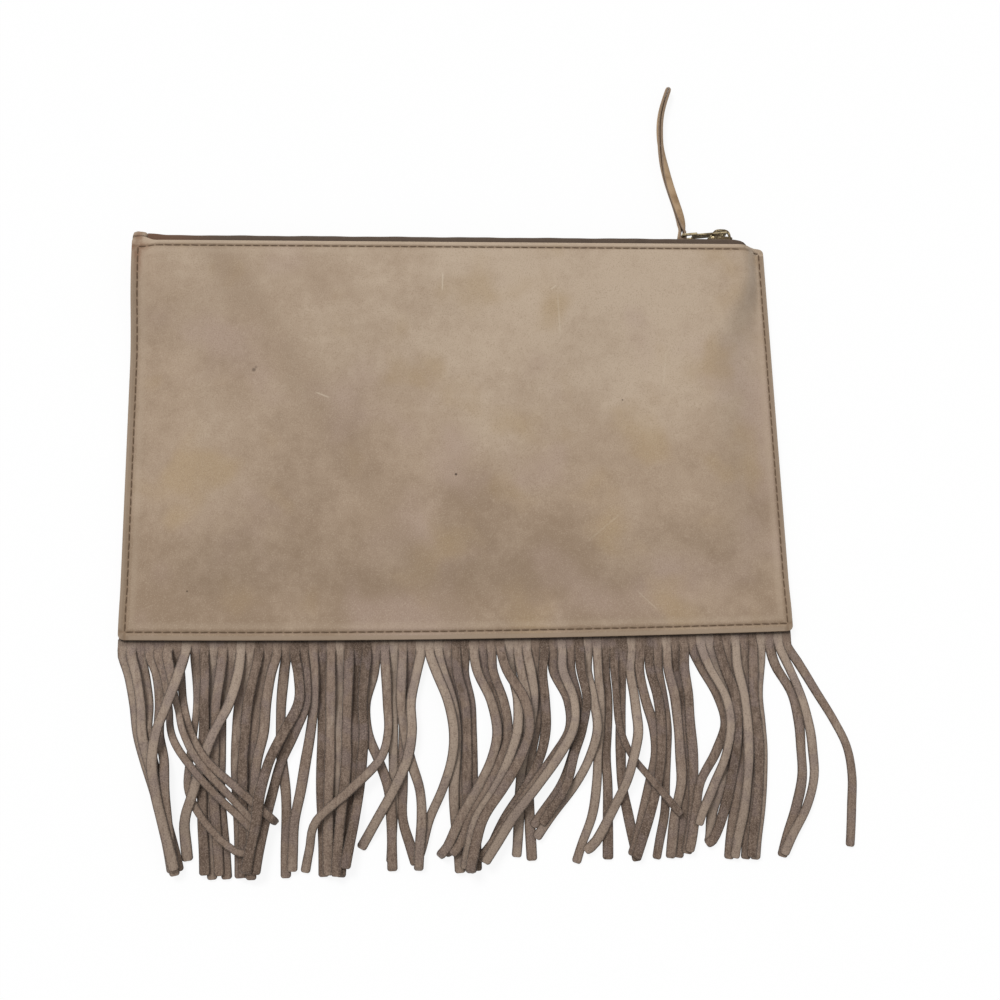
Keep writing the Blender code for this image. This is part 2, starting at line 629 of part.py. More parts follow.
def make_slider(group, helpers, metal):
    """The slider: two plates held apart by a divider, flanges round the coil, and a bridge."""
    half_length, half_width = SLIDER_LENGTH / 2, SLIDER_WIDTH / 2
    origin = (SLIDER_X, ZIP_Y, ZIP_Z)
    plates = []
    for name, side in (("slider", 1), ("slider_inner_plate", -1)):
        near = ZIP_Y + side * (SLIDER_HEIGHT / 2 - SLIDER_PLATE)
        far = ZIP_Y + side * SLIDER_HEIGHT / 2
        low = (SLIDER_X - half_length, min(near, far), ZIP_Z - half_width)
        high = (SLIDER_X + half_length, max(near, far), ZIP_Z + half_width)
        home = group if side > 0 else helpers
        plates.append(block(name, low, high, home, metal, SLIDER_CORNER, 1, origin))
    slider, inner = plates
    sunk = SLIDER_PLATE / 3
    divider_x = SLIDER_X + half_length - DIVIDER_LENGTH - DIVIDER_SETBACK
    divider = block(
        "slider_divider",
        (divider_x, ZIP_Y - SLIDER_HEIGHT / 2 + sunk, ZIP_Z - DIVIDER_WIDTH / 2),
        (divider_x + DIVIDER_LENGTH, ZIP_Y + SLIDER_HEIGHT / 2 - sunk, ZIP_Z + DIVIDER_WIDTH / 2),
        helpers,
    )
    join_or_cut(slider, divider, "UNION")
    join_or_cut(slider, inner, "UNION")
    slot = TAPE / 2 + GAP
    for part_name, end in (("outer", 1), ("inner", -1)):
        for side_name, side in (("front", 1), ("back", -1)):
            ys = (ZIP_Y + end * slot, ZIP_Y + end * (SLIDER_HEIGHT / 2 - sunk))
            zs = (ZIP_Z + side * (half_width - FLANGE_WIDTH), ZIP_Z + side * (half_width - FLANGE_INSET))
            flange = block(
                f"slider_flange_{part_name}_{side_name}",
                (SLIDER_X - half_length + SLIDER_CORNER * FLANGE_END_SHARE, min(ys), min(zs)),
                (SLIDER_X + half_length - SLIDER_CORNER * FLANGE_END_SHARE, max(ys), max(zs)),
                helpers,
            )
            join_or_cut(slider, flange, "UNION")
    join_or_cut(slider, make_bridge(helpers, sunk), "UNION")
    return slider


def make_bridge(helpers, sunk):
    """The arch over the outer plate that holds the pull tab."""
    top = HINGE_Y + TAB_THICK / 2 + BRIDGE_ROOM + BRIDGE_STRIP / 2
    middle = SLIDER_X + BRIDGE_OFFSET
    foot = SLIDER_TOP - sunk
    rows = []
    for n in range(BRIDGE_STEPS + 1):
        angle = math.pi * n / BRIDGE_STEPS
        x = middle - BRIDGE_REACH * math.copysign(abs(math.cos(angle)) ** 0.7, math.cos(angle))
        y = blend(foot, top, math.sqrt(abs(math.sin(angle))) if 0 < n < BRIDGE_STEPS else 0)
        rows.append([(x, y, ZIP_Z - BRIDGE_WIDTH / 2), (x, y, ZIP_Z + BRIDGE_WIDTH / 2)])
    bridge = place("slider_bridge", sheet_mesh("slider_bridge", rows), helpers)
    thicken(bridge, BRIDGE_STRIP, 0)
    return bridge


def make_pull_tab(group, helpers, metal):
    """The metal tab: a neck that hinges on the bridge and a wide eye for the strap."""
    origin = (HINGE_X, HINGE_Y, ZIP_Z)
    right = HINGE_X + TAB_BAR / 2
    end = right - TAB_LENGTH
    half = TAB_THICK / 2
    low = (end, HINGE_Y - half, ZIP_Z - TAB_WIDTH / 2)
    high = (end + EYE_LENGTH, HINGE_Y + half, ZIP_Z + TAB_WIDTH / 2)
    tab = block("pull_tab", low, high, group, metal, TAB_EDGE, None, origin)
    low = (end + EYE_LENGTH - TAB_BAR, HINGE_Y - half + NECK_INSET, ZIP_Z - NECK_WIDTH / 2)
    high = (right, HINGE_Y + half - NECK_INSET, ZIP_Z + NECK_WIDTH / 2)
    neck = block("pull_tab_neck", low, high, helpers, metal, TAB_EDGE, None, origin)
    join_or_cut(tab, neck, "UNION")
    slots = (
        ("pull_tab_bridge_slot", right - TAB_BAR - BRIDGE_SLOT_LENGTH, BRIDGE_SLOT_LENGTH,
         BRIDGE_WIDTH / 2 + GAP),
        ("pull_tab_strap_slot", end + TAB_BAR, STRAP_SLOT_LENGTH, STRAP_WIDTH / 2 + GAP),
    )
    leaning = [tab, neck]
    for name, start, length, reach in slots:
        low = (start, HINGE_Y - TAB_THICK, ZIP_Z - reach)
        high = (start + length, HINGE_Y + TAB_THICK, ZIP_Z + reach)
        cutter = block(name, low, high, helpers, None, SLOT_CORNER, 1, origin)
        join_or_cut(tab, cutter, "DIFFERENCE")
        leaning.append(cutter)
    for piece in leaning:
        piece.rotation_euler.z = TAB_LEAN
    return tab


def make_strap(group, leather):
    """The strap: one leather strip folded double round the tab's end bar."""
    loop = TAB_BAR / 2 + STRAP_LOOP_CLEARANCE + STRAP_THICK / 2
    apart = (STRAP_THICK + STRAP_FOLD_GAP) / 2
    bar = Vector((STRAP_BAR_X, STRAP_BAR_Y, ZIP_Z))
    scale = STRAP_LENGTH / STRAP_STEPS
    middles = [bar + Vector((x, y, -z)) * scale for x, y, z, _ in STRAP_ROUTE]
    legs = {1: [], -1: []}
    for n, middle in enumerate(middles):
        before = middles[n - 1] if n else bar
        run = (middles[min(n + 1, len(middles) - 1)] - before).normalized()
        turn = math.radians(STRAP_ROUTE[n][3])
        flat = run.cross(Vector((0, 0, 1))).normalized()
        up = flat.cross(run)
        across = flat * math.cos(turn) + up * math.sin(turn)
        width = up * math.cos(turn) - flat * math.sin(turn)
        spread = blend(loop, apart, step(STRAP_ROUTE[n][1] * scale / STRAP_SPREAD_RUN))
        for side in legs:
            legs[side].append((middle + across * spread * side, width))
    rows = []
    for point, width in reversed(legs[-1]):
        rows.append([point - width * STRAP_WIDTH / 2, point + width * STRAP_WIDTH / 2])
    for n in range(STRAP_LOOP_STEPS + 1):
        angle = math.pi + math.pi * n / STRAP_LOOP_STEPS
        spot = bar + Vector((math.cos(angle), math.sin(angle), 0)) * loop
        half = Vector((0, 0, STRAP_WIDTH / 2))
        rows.append([spot - half, spot + half])
    for point, width in legs[1]:
        rows.append([point - width * STRAP_WIDTH / 2, point + width * STRAP_WIDTH / 2])
    strap = place("pull_strap", sheet_mesh("pull_strap", rows), group, leather, bar)
    thicken(strap, STRAP_THICK, 0)
    return strap


def main():
    """Build every piece of the clutch."""
    clear_scene()
    group = new_collection("fringed_clutch")
    helpers = new_collection("cutters", hidden=True)
    leather = new_material("nubuck_leather", (0.42, 0.33, 0.25), 0.75)
    suede = new_material("fringe_suede", (0.20, 0.155, 0.12), 0.95)
    cloth = new_material("zip_tape", (0.15, 0.12, 0.09), 0.9)
    nylon = new_material("zip_coil", (0.13, 0.10, 0.08), 0.5)
    metal = new_material("antique_brass", (0.12, 0.10, 0.07), 0.4, 1.0)
    brown = new_material("strap_leather", (0.26, 0.18, 0.11), 0.7)
    make_panels(group, leather)
    make_fringe(group, suede)
    make_tape("zip_tape_front", 1, group, cloth)
    make_tape("zip_tape_back", -1, group, cloth)
    make_coil("zip_coil_front", 1, group, nylon)
    make_coil("zip_coil_back", -1, group, nylon)
    make_stops(group, metal)
    make_slider(group, helpers, metal)
    make_pull_tab(group, helpers, metal)
    make_strap(group, brown)


main()
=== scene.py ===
"""A fringed zip clutch of nubuck leather lying on its back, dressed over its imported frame.

Metres, +Z up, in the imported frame: the origin is the middle of the back panel's underside,
+Y runs towards the zip and the fringe lies towards -Y.
"""

from __future__ import annotations

import logging
import math
import random
from dataclasses import dataclass, field
from enum import Enum
from typing import Callable, Iterable, NamedTuple, Sequence

import bpy
import numpy as np
from mathutils import Matrix, Vector


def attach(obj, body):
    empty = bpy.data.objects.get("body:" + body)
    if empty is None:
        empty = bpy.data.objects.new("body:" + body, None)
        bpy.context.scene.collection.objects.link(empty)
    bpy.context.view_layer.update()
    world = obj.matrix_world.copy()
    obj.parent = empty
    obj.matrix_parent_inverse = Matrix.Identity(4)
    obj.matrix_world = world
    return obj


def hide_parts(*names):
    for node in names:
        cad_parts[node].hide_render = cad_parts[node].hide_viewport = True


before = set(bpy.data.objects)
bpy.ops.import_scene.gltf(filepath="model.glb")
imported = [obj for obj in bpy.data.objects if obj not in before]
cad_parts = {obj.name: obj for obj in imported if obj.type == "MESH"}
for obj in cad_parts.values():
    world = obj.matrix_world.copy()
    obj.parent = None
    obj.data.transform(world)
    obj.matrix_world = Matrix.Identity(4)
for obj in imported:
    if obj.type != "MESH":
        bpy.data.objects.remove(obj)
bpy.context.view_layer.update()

MM = 0.001
LOG = logging.getLogger("fringed_clutch")

Number = "float | Signal"
Place = tuple[float, float, float]
Tone = tuple[float, float, float]
Height = Callable[[float, float], float]
Operator = Callable[["Signal", Number], "Signal"]


class Body(Enum):
    """The moving bodies that a piece may ride on."""

    BAG = "bag"
    SLIDER = "zip_slider"
    PULL = "zip_pull"
    STRAP = "strap"


class Side(Enum):
    """The two halves of the zip, by the panel they belong to."""

    FRONT = 1
    BACK = -1


def linear(red: float, green: float, blue: float) -> tuple[float, float, float, float]:
    """A shader colour from a display colour.

    Args:
        red: Red from 0 to 255.
        green: Green from 0 to 255.
        blue: Blue from 0 to 255.

    Returns:
        The linear colour with an alpha of 1.
    """
    parts = []
    for part in (red, green, blue):
        part /= 255
        parts.append(part / 12.92 if part <= 0.04045 else ((part + 0.055) / 1.055) ** 2.4)
    return (*parts, 1.0)


def step(t: float) -> float:
    """A smooth step from 0 to 1."""
    t = min(max(t, 0.0), 1.0)
    return t * t * (3 - 2 * t)


def blend(a: float, b: float, t: float) -> float:
    """The value that is a share t of the way from a to b."""
    return a + (b - a) * t


def smooth_through(places: Sequence[float], values: Sequence[float], at: float) -> float:
    """The value on a smooth curve through given points.

    Args:
        places: Rising places of the points.
        values: The value at each of them.
        at: The place that is asked for.

    Returns:
        The value there.
    """
    last = len(places) - 2
    n = min(max(sum(1 for p in places[1:-1] if at >= p), 0), last)
    low, high = places[n], places[n + 1]
    span = high - low
    slopes = []
    for k in (n, n + 1):
        before, after = max(k - 1, 0), min(k + 1, len(places) - 1)
        slopes.append((values[after] - values[before]) / (places[after] - places[before]))
    t = (at - low) / span
    rise = (1 + 2 * t) * (1 - t) ** 2 * values[n] + t * t * (3 - 2 * t) * values[n + 1]
    return rise + span * (t * (1 - t) ** 2 * slopes[0] + t * t * (t - 1) * slopes[1])


def heading(points: Sequence[Vector], n: int) -> Vector:
    """The direction of a path at the point with a number, from the one before to the one after."""
    return (points[min(n + 1, len(points) - 1)] - points[max(n - 1, 0)]).normalized()


def both_ways(operation: str) -> tuple[Operator, Operator]:
    """An operator of the signals and its reflected form.

    Args:
        operation: What the Math node does.

    Returns:
        The methods for a signal on the left and for a signal on the right.
    """

    def plain(self: Signal, other: Number) -> Signal:
        """The result with the signal on the left."""
        return self.graph.math(operation, self, other)

    def reflected(self: Signal, other: Number) -> Signal:
        """The result with the signal on the right."""
        return self.graph.math(operation, other, self)

    return plain, reflected


class Signal:
    """A number that varies over a surface: a socket with Python's operators."""

    def __init__(self, graph: Graph, socket: bpy.types.NodeSocket) -> None:
        """Keep the socket and the graph that it belongs to."""
        self.graph = graph
        self.socket = socket

    __add__, __radd__ = both_ways("ADD")
    __sub__, __rsub__ = both_ways("SUBTRACT")
    __mul__, __rmul__ = both_ways("MULTIPLY")
    __truediv__, __rtruediv__ = both_ways("DIVIDE")
    __pow__, __rpow__ = both_ways("POWER")

    def __abs__(self) -> Signal:
        """The size of the value."""
        return self.graph.math("ABSOLUTE", self)

    def least(self, other: Number) -> Signal:
        """The lower of the two values."""
        return self.graph.math("MINIMUM", self, other)

    def most(self, other: Number) -> Signal:
        """The higher of the two values."""
        return self.graph.math("MAXIMUM", self, other)

    def sine(self) -> Signal:
        """The sine of the value."""
        return self.graph.math("SINE", self)

    def ramp(self, low: float, high: float) -> Signal:
        """A smooth step that rises from 0 at low to 1 at high, or falls if high is lower.

        Args:
            low: The value at which it is 0.
            high: The value at which it is 1.

        Returns:
            The step, from 0 to 1.
        """
        if high < low:
            return 1 - self.ramp(high, low)
        return self.graph.value(
            "ShaderNodeMapRange",
            {"interpolation_type": "SMOOTHSTEP"},
            {"Value": self, "From Min": low, "From Max": high},
        )


class Graph:
    """The nodes of one shader, made with plain calls."""

    def __init__(self, tree: bpy.types.NodeTree) -> None:
        """Start from an empty tree."""
        self.tree = tree
        tree.nodes.clear()
        self._spot: Signal | None = None

    def make(
        self,
        kind: str,
        settings: dict[str, object] | None = None,
        inputs: dict[str | int, object] | None = None,
    ) -> bpy.types.Node:
        """Make a node.

        Args:
            kind: The node's type.
            settings: Its settings, set first.
            inputs: Values or signals for its sockets, by name or number.

        Returns:
            The node.
        """
        node = self.tree.nodes.new(kind)
        for name, value in (settings or {}).items():
            setattr(node, name, value)
        for key, value in (inputs or {}).items():
            if isinstance(value, Signal):
                self.tree.links.new(value.socket, node.inputs[key])
            else:
                node.inputs[key].default_value = value
        return node

    def value(
        self,
        kind: str,
        settings: dict[str, object] | None = None,
        inputs: dict[str | int, object] | None = None,
        out: str | int = 0,
    ) -> Signal:
        """One of the outputs of a new node, which is made as in make."""
        return Signal(self, self.make(kind, settings, inputs).outputs[out])

    def math(self, operation: str, *values: Number) -> Signal:
        """A Math node on one or two numbers or signals."""
        return self.value("ShaderNodeMath", {"operation": operation}, dict(enumerate(values)))

    def place(self) -> tuple[Signal, Signal, Signal]:
        """The point's x, y and z in the piece's own metres."""
        node = self.make("ShaderNodeSeparateXYZ", {}, {0: self.spot()})
        return tuple(Signal(self, out) for out in node.outputs)

    def spot(self) -> Signal:
        """The point as a vector in the piece's own metres.

        Returns:
            The vector.
        """
        if self._spot is None:
            self._spot = self.value("ShaderNodeTexCoord", out="Object")
        return self._spot

    def stretched(self, x: float, y: float, z: float) -> Signal:
        """The point with each axis multiplied, for streaks and ribs."""
        return self.value(
            "ShaderNodeVectorMath", {"operation": "MULTIPLY"}, {0: self.spot(), 1: (x, y, z)}
        )

    def noise(
        self, size: float, seed: float, detail: float = 3.0, rough: float = 0.5,
        vector: Signal | None = None,
    ) -> Signal:
        """Cloudy noise of about 0 to 1.

        Args:
            size: The size of its patches in metres.
            seed: Which noise it is.
            detail: How many finer layers it has.
            rough: How strong those are.
            vector: The points to read it at, if not the piece's own.

        Returns:
            The noise.
        """
        inputs = {
            "Vector": vector or self.spot(), "W": seed, "Scale": 1 / size,
            "Detail": detail, "Roughness": rough,
        }
        return self.value("ShaderNodeTexNoise", {"noise_dimensions": "4D"}, inputs)

    def pores(self, size: float) -> Signal:
        """Distance to the nearest of many scattered points, in shares of their spacing."""
        return self.value(
            "ShaderNodeTexVoronoi", {"feature": "F1"}, {"Vector": self.spot(), "Scale": 1 / size}
        )

    def attribute(self, name: str) -> Signal:
        """A number stored on the piece's points."""
        return self.value("ShaderNodeAttribute", {"attribute_name": name}, out="Fac")

    def coats(self, base: Tone, *coats: tuple[Tone | Signal, Number]) -> Signal:
        """Lay coats of colour over a base colour.

        Args:
            base: The display colour underneath.
            coats: The colour of each coat and the share of it that shows, in order.

        Returns:
            The colour that is seen.
        """
        shade = linear(*base)
        for tone, share in coats:
            over = tone if isinstance(tone, Signal) else linear(*tone)
            inputs = {0: share, 6: shade, 7: over}
            shade = self.value("ShaderNodeMix", {"data_type": "RGBA"}, inputs, 2)
        return shade

    def bump(self, height: Signal, depth: float, strength: float = 1.0) -> Signal:
        """A bumped normal from a height of 0 to 1 that stands for so many metres."""
        return self.value(
            "ShaderNodeBump", {}, {"Strength": strength, "Distance": depth, "Height": height}
        )


@dataclass(frozen=True)
class Finish:
    """A surface finish: the constants of its shader, and the parts that vary."""

    name: str
    roughness: float = 0.8
    metallic: float = 0.0
    sheen: float = 0.0
    sheen_spread: float = 0.45
    specular: float = 0.4

    def colour(self, graph: Graph) -> Signal:
        """The base colour."""
        raise NotImplementedError

    def relief(self, graph: Graph) -> Signal | None:
        """The bumped normal, if it has one."""
        return None

    def matt(self, graph: Graph) -> Number:
        """The roughness, which may vary."""
        return self.roughness

    def dress(self) -> bpy.types.Material:
        """Make the material.

        Returns:
            The finished material.
        """
        made = bpy.data.materials.new(self.name)
        made.use_nodes = True
        graph = Graph(made.node_tree)
        inputs = {
            "Base Color": self.colour(graph),
            "Roughness": self.matt(graph),
            "Metallic": self.metallic,
            "Specular IOR Level": self.specular,
            "Sheen Weight": self.sheen,
            "Sheen Roughness": self.sheen_spread,
        }
        normal = self.relief(graph)
        if normal is not None:
            inputs["Normal"] = normal
        shader = graph.value("ShaderNodeBsdfPrincipled", {}, inputs)
        graph.make("ShaderNodeOutputMaterial", {}, {0: shader})
        return made


@dataclass(frozen=True)
class PanelLines:
    """Where the panel's seams run, for the shader and the stitches."""

    half_width: float = 152.5 * MM
    top_y: float = 93.8 * MM
    hem_corner_y: float = -94.3 * MM
    hem_bow: float = 1.6 * MM
    top_in: float = 2.6 * MM
    left_in: float = 3.0 * MM
    right_in: float = 2.4 * MM
    hem_in: float = 3.6 * MM
    right_rise: float = 2.3 * MM
    right_from: float = 141 * MM
    right_run: float = 6 * MM
    pitch: float = 4.1 * MM

    def hem_y(self, x: float) -> float:
        """The hem's place along Y, which bows a little towards the fringe."""
        return self.hem_corner_y - self.hem_bow * (1 - (x / self.half_width) ** 2)

    def insets(self, graph: Graph) -> tuple[Signal, Signal, Signal, Signal]:
        """Distances in from the top, left, right and hem edges, in millimetres.

        Args:
            graph: The shader's nodes.

        Returns:
            The four distances.
        """
        x, y, _ = graph.place()
        share = x / self.half_width
        hem = self.hem_corner_y - self.hem_bow * (1 - share * share)
        right_end = self.right_from + self.right_run
        top = self.top_y + self.right_rise * x.ramp(self.right_from, right_end)
        ends = (top - y, x + self.half_width, self.half_width - x, y - hem)
        return tuple(end / MM for end in ends)

    def from_stitches(self, graph: Graph) -> Signal:
        """Distance to the nearest stitch line, in millimetres.

        Args:
            graph: The shader's nodes.

        Returns:
            The distance.
        """
        lines = (self.top_in, self.left_in, self.right_in, self.hem_in)
        nearest = None
        for inset, line in zip(self.insets(graph), lines):
            off = abs(inset - line / MM)
            nearest = off if nearest is None else nearest.least(off)
        return nearest

    def from_edge(self, graph: Graph) -> Signal:
        """Distance to the nearest edge apart from the zip's, in millimetres."""
        _, left, right, hem = self.insets(graph)
        return left.least(right.least(hem))


@dataclass(frozen=True)
class Spot:
    """A small stain on the leather, in millimetres."""

    x: float
    y: float
    size: float
    strength: float

    def mask(self, graph: Graph) -> Signal:
        """How strongly a point lies in the stain.

        Args:
            graph: The shader's nodes.

        Returns:
            A share of 0 to 1.
        """
        x, y, _ = graph.place()
        away = ((x / MM - self.x) ** 2.0 + (y / MM - self.y) ** 2.0) ** 0.5
        return away.ramp(self.size, self.size * 0.35) * self.strength


@dataclass(frozen=True)
class Scratch:
    """A fine line on the leather from one point to another, in millimetres."""

    start: tuple[float, float]
    end: tuple[float, float]
    width: float
    strength: float

    def mask(self, graph: Graph) -> Signal:
        """How strongly a point lies on the scratch.

        Args:
            graph: The shader's nodes.

        Returns:
            A share of 0 to 1.
        """
        x, y, _ = graph.place()
        a, b = Vector(self.start), Vector(self.end)
        run = (b - a).normalized()
        length = (b - a).length
        dx, dy = x / MM - a.x, y / MM - a.y
        along = dx * run.x + dy * run.y
        aside = abs(dx * run.y - dy * run.x)
        inside = along.ramp(0, 0.25 * length) * along.ramp(length, 0.75 * length)
        return aside.ramp(self.width, self.width * 0.3) * inside * self.strength


@dataclass(frozen=True)
class Nubuck(Finish):
    """Light taupe nubuck: mottled, buffed, with a few stains and rubbed marks."""

    lines: PanelLines = PanelLines()
    light: Tone = (187, 168, 147)
    middle: Tone = (168, 147, 126)
    dark: Tone = (147, 126, 105)
    rosy: Tone = (173, 151, 138)
    rust: Tone = (134, 100, 78)
    # furrow: colour of the painted shade in the furrow that the stitches pull
    furrow: Tone = (118, 96, 75)
    ochre: Tone = (167, 143, 110)
    # edge: colour of the painted shade along the outer side and hem edges
    edge: Tone = (134, 116, 98)
    stain: Tone = (62, 50, 40)
    pale: Tone = (208, 194, 172)
    band_across: tuple[float, float] = (0.847, 0.531)
    band_off: float = 49.0
    seed: float = 1.0
    spots: tuple[Spot, ...] = ()
    scratches: tuple[Scratch, ...] = ()

    def colour(self, graph: Graph) -> Signal:
        """Clouded taupe, lighter towards the zip and greyer outside the stitches, where shade is
        painted along the outer edges, with painted shade in the stitch furrows and painted
        highlights along the top edge and on the raised leather beside the stitches.

        Args:
            graph: The shader's nodes.

        Returns:
            The base colour.
        """
        x, y, _ = graph.place()
        broad = graph.noise(70 * MM, self.seed, 3, 0.55)
        clouds = graph.noise(24 * MM, self.seed + 3, 4, 0.6)
        fine = graph.noise(5 * MM, self.seed + 7, 4, 0.65)
        grain = graph.noise(0.5 * MM, self.seed + 9, 3, 0.6)
        tall = y.ramp(-95 * MM, 95 * MM)
        wide = x.ramp(-150 * MM, -20 * MM)
        tone = 0.46 * broad + 0.34 * clouds + 0.2 * fine + 0.19 * tall + 0.07 * wide - 0.16
        warm = graph.noise(42 * MM, self.seed + 13, 2, 0.5)
        sunny = graph.noise(36 * MM, self.seed + 17, 2, 0.5)
        across = (x * self.band_across[0] + y * self.band_across[1]) / MM + self.band_off
        band = across.ramp(-13, 0) * across.ramp(14, 1) * clouds.ramp(0.3, 0.6)
        # rim: within about 2 mm of the side and hem edges, where shade is painted
        rim = self.lines.from_edge(graph).ramp(2.6, 1.4)
        seam = self.lines.from_stitches(graph)
        # lip: a strip along the top edge that is painted lighter as a highlight
        lip = (self.lines.top_y - y).ramp(1.8 * MM, 1.2 * MM)
        corner = x.ramp(-141 * MM, -149 * MM) * y.ramp(70 * MM, 90 * MM) * seam.ramp(4.0, 1.0)
        # raised: the raised leather beside the stitch lines, painted lighter as a highlight
        raised = seam.ramp(1.2, 2.2) * seam.ramp(5.5, 2.6)
        stains = [(self.stain, spot.mask(graph)) for spot in self.spots]
        scrapes = [(self.pale, scratch.mask(graph)) for scratch in self.scratches]
        return graph.coats(
            self.dark,
            (self.middle, tone.ramp(0.34, 0.5)),
            (self.light, tone.ramp(0.47, 0.66)),
            (self.rosy, warm.ramp(0.5, 0.68) * 0.55),
            (self.ochre, sunny.ramp(0.54, 0.7) * 0.6),
            (self.dark, band * 0.55),
            (self.dark, grain.ramp(0.5, 0.66) * 0.55),
            (self.light, grain.ramp(0.5, 0.34) * 0.4),
            # painted shade along the outer side and hem edges
            (self.edge, rim * 0.7),
            # painted shade in the furrow along the stitch lines, in the dark and furrow colours
            (self.dark, seam.ramp(1.3, 0.4) * 0.45),
            (self.furrow, seam.ramp(0.8, 0.25) * 0.45),
            # painted highlight along the top edge
            (self.light, lip * 0.6),
            (self.rust, corner * fine.ramp(0.3, 0.6) * 0.7),
            # painted highlight on the raised leather beside the stitches
            (self.light, raised * 0.22),
            *stains,
            *scrapes,
        )

    def matt(self, graph: Graph) -> Signal:
        """Dull, with slightly smoother rubbed patches."""
        return 0.88 - 0.16 * graph.noise(20 * MM, self.seed + 21, 3).ramp(0.45, 0.75)

    def relief(self, graph: Graph) -> Signal:
        """Fine grain, soft unevenness and the furrow that the stitches pull.

        Args:
            graph: The shader's nodes.

        Returns:
            The bumped normal.
        """
        seam = self.lines.from_stitches(graph)
        furrow = seam.ramp(0.1, 1.3)
        x, y, _ = graph.place()
        pucker = ((x + y) * (2 * math.pi / self.lines.pitch)).sine() * seam.ramp(2.6, 0.4)
        soft = graph.noise(6 * MM, self.seed + 31, 4, 0.55)
        grain = graph.noise(0.55 * MM, self.seed + 37, 3, 0.6)
        pores = graph.pores(1.1 * MM).ramp(0.0, 0.25)
        height = 0.62 * furrow + 0.07 * pucker + 0.55 * soft + 0.13 * grain + 0.05 * pores
        return graph.bump(height, 0.45 * MM, 0.8)


@dataclass(frozen=True)
class CutEdge(Finish):
    """The raw cut edge of the leather, darker and fibrous."""

    tone: Tone = (122, 100, 80)
    deep: Tone = (88, 70, 54)

    def colour(self, graph: Graph) -> Signal:
        """Brown fibres with darker specks.

        Args:
            graph: The shader's nodes.

        Returns:
            The base colour.
        """
        fibre = graph.noise(0.5 * MM, 5.0, 3, 0.7)
        stain = graph.noise(7 * MM, 6.0, 2)
        share = fibre * 0.6 + stain * 0.4
        return graph.coats(self.tone, (self.deep, share.ramp(0.35, 0.65)))

    def relief(self, graph: Graph) -> Signal:
        """Rough fibres."""
        return graph.bump(graph.noise(0.35 * MM, 8.0, 3, 0.7), 0.12 * MM)


@dataclass(frozen=True)
class Suede(Finish):
    """Grey-brown suede with a raised nap, lighter along the middle of each strand because shade is
    painted along its edges.
    """

    light: Tone = (168, 150, 134)
    middle: Tone = (135, 116, 102)
    dark: Tone = (96, 80, 69)
    # edge: colour of the painted shade at the strands' edges and under the hem, and of the nap's
    # dark flecks
    edge: Tone = (50, 39, 31)
    mauve: Tone = (128, 113, 110)

    def colour(self, graph: Graph) -> Signal:
        """A tone for each strand, brushed lighter and darker along it, with painted shade at its
        edges, towards its tip and under the hem.

        Args:
            graph: The shader's nodes.

        Returns:
            The base colour.
        """
        strand = graph.attribute("strand")
        down = graph.attribute("down")
        across = abs(graph.attribute("across"))
        broad = graph.noise(16 * MM, 41.0, 3, 0.55)
        nap = graph.noise(1.6 * MM, 43.0, 4, 0.7)
        fuzz = graph.noise(0.5 * MM, 47.0, 2, 0.6)
        streaks = graph.noise(1.1 * MM, 45.0, 3, 0.65, graph.stretched(1.0, 0.16, 1.0))
        tone = 0.2 * strand + 0.24 * broad + 0.24 * nap + 0.26 * streaks + 0.1 * fuzz
        cool = graph.noise(9 * MM, 57.0, 2, 0.5)
        # cut: fades the painted edge shade in below the hem, where the slits begin
        cut = down.ramp(0.02, 0.06)
        return graph.coats(
            self.dark,
            (self.middle, tone.ramp(0.4, 0.5)),
            (self.light, tone.ramp(0.49, 0.62)),
            (self.mauve, cool.ramp(0.5, 0.62) * 0.45),
            # painted shade along each strand's edges, where the strands meet
            (self.dark, across.ramp(0.45, 0.9) * cut * 0.4),
            (self.edge, across.ramp(0.72, 0.96) * cut * 0.85),
            # painted shade, darker towards the tips where the lower strands bunch
            (self.dark, down.ramp(0.3, 0.85) * 0.3),
            (self.edge, fuzz.ramp(0.5, 0.66) * 0.42),
            (self.light, fuzz.ramp(0.5, 0.36) * 0.42),
            # painted shadow right under the hem
            (self.edge, down.ramp(0.045, -0.01) * 0.6),
        )

    def relief(self, graph: Graph) -> Signal:
        """Brushed nap and soft dents.

        Args:
            graph: The shader's nodes.

        Returns:
            The bumped normal.
        """
        nap = graph.noise(0.6 * MM, 51.0, 3, 0.7)
        soft = graph.noise(3 * MM, 53.0, 3, 0.6)
        return graph.bump(0.55 * nap + 0.7 * soft, 0.45 * MM)


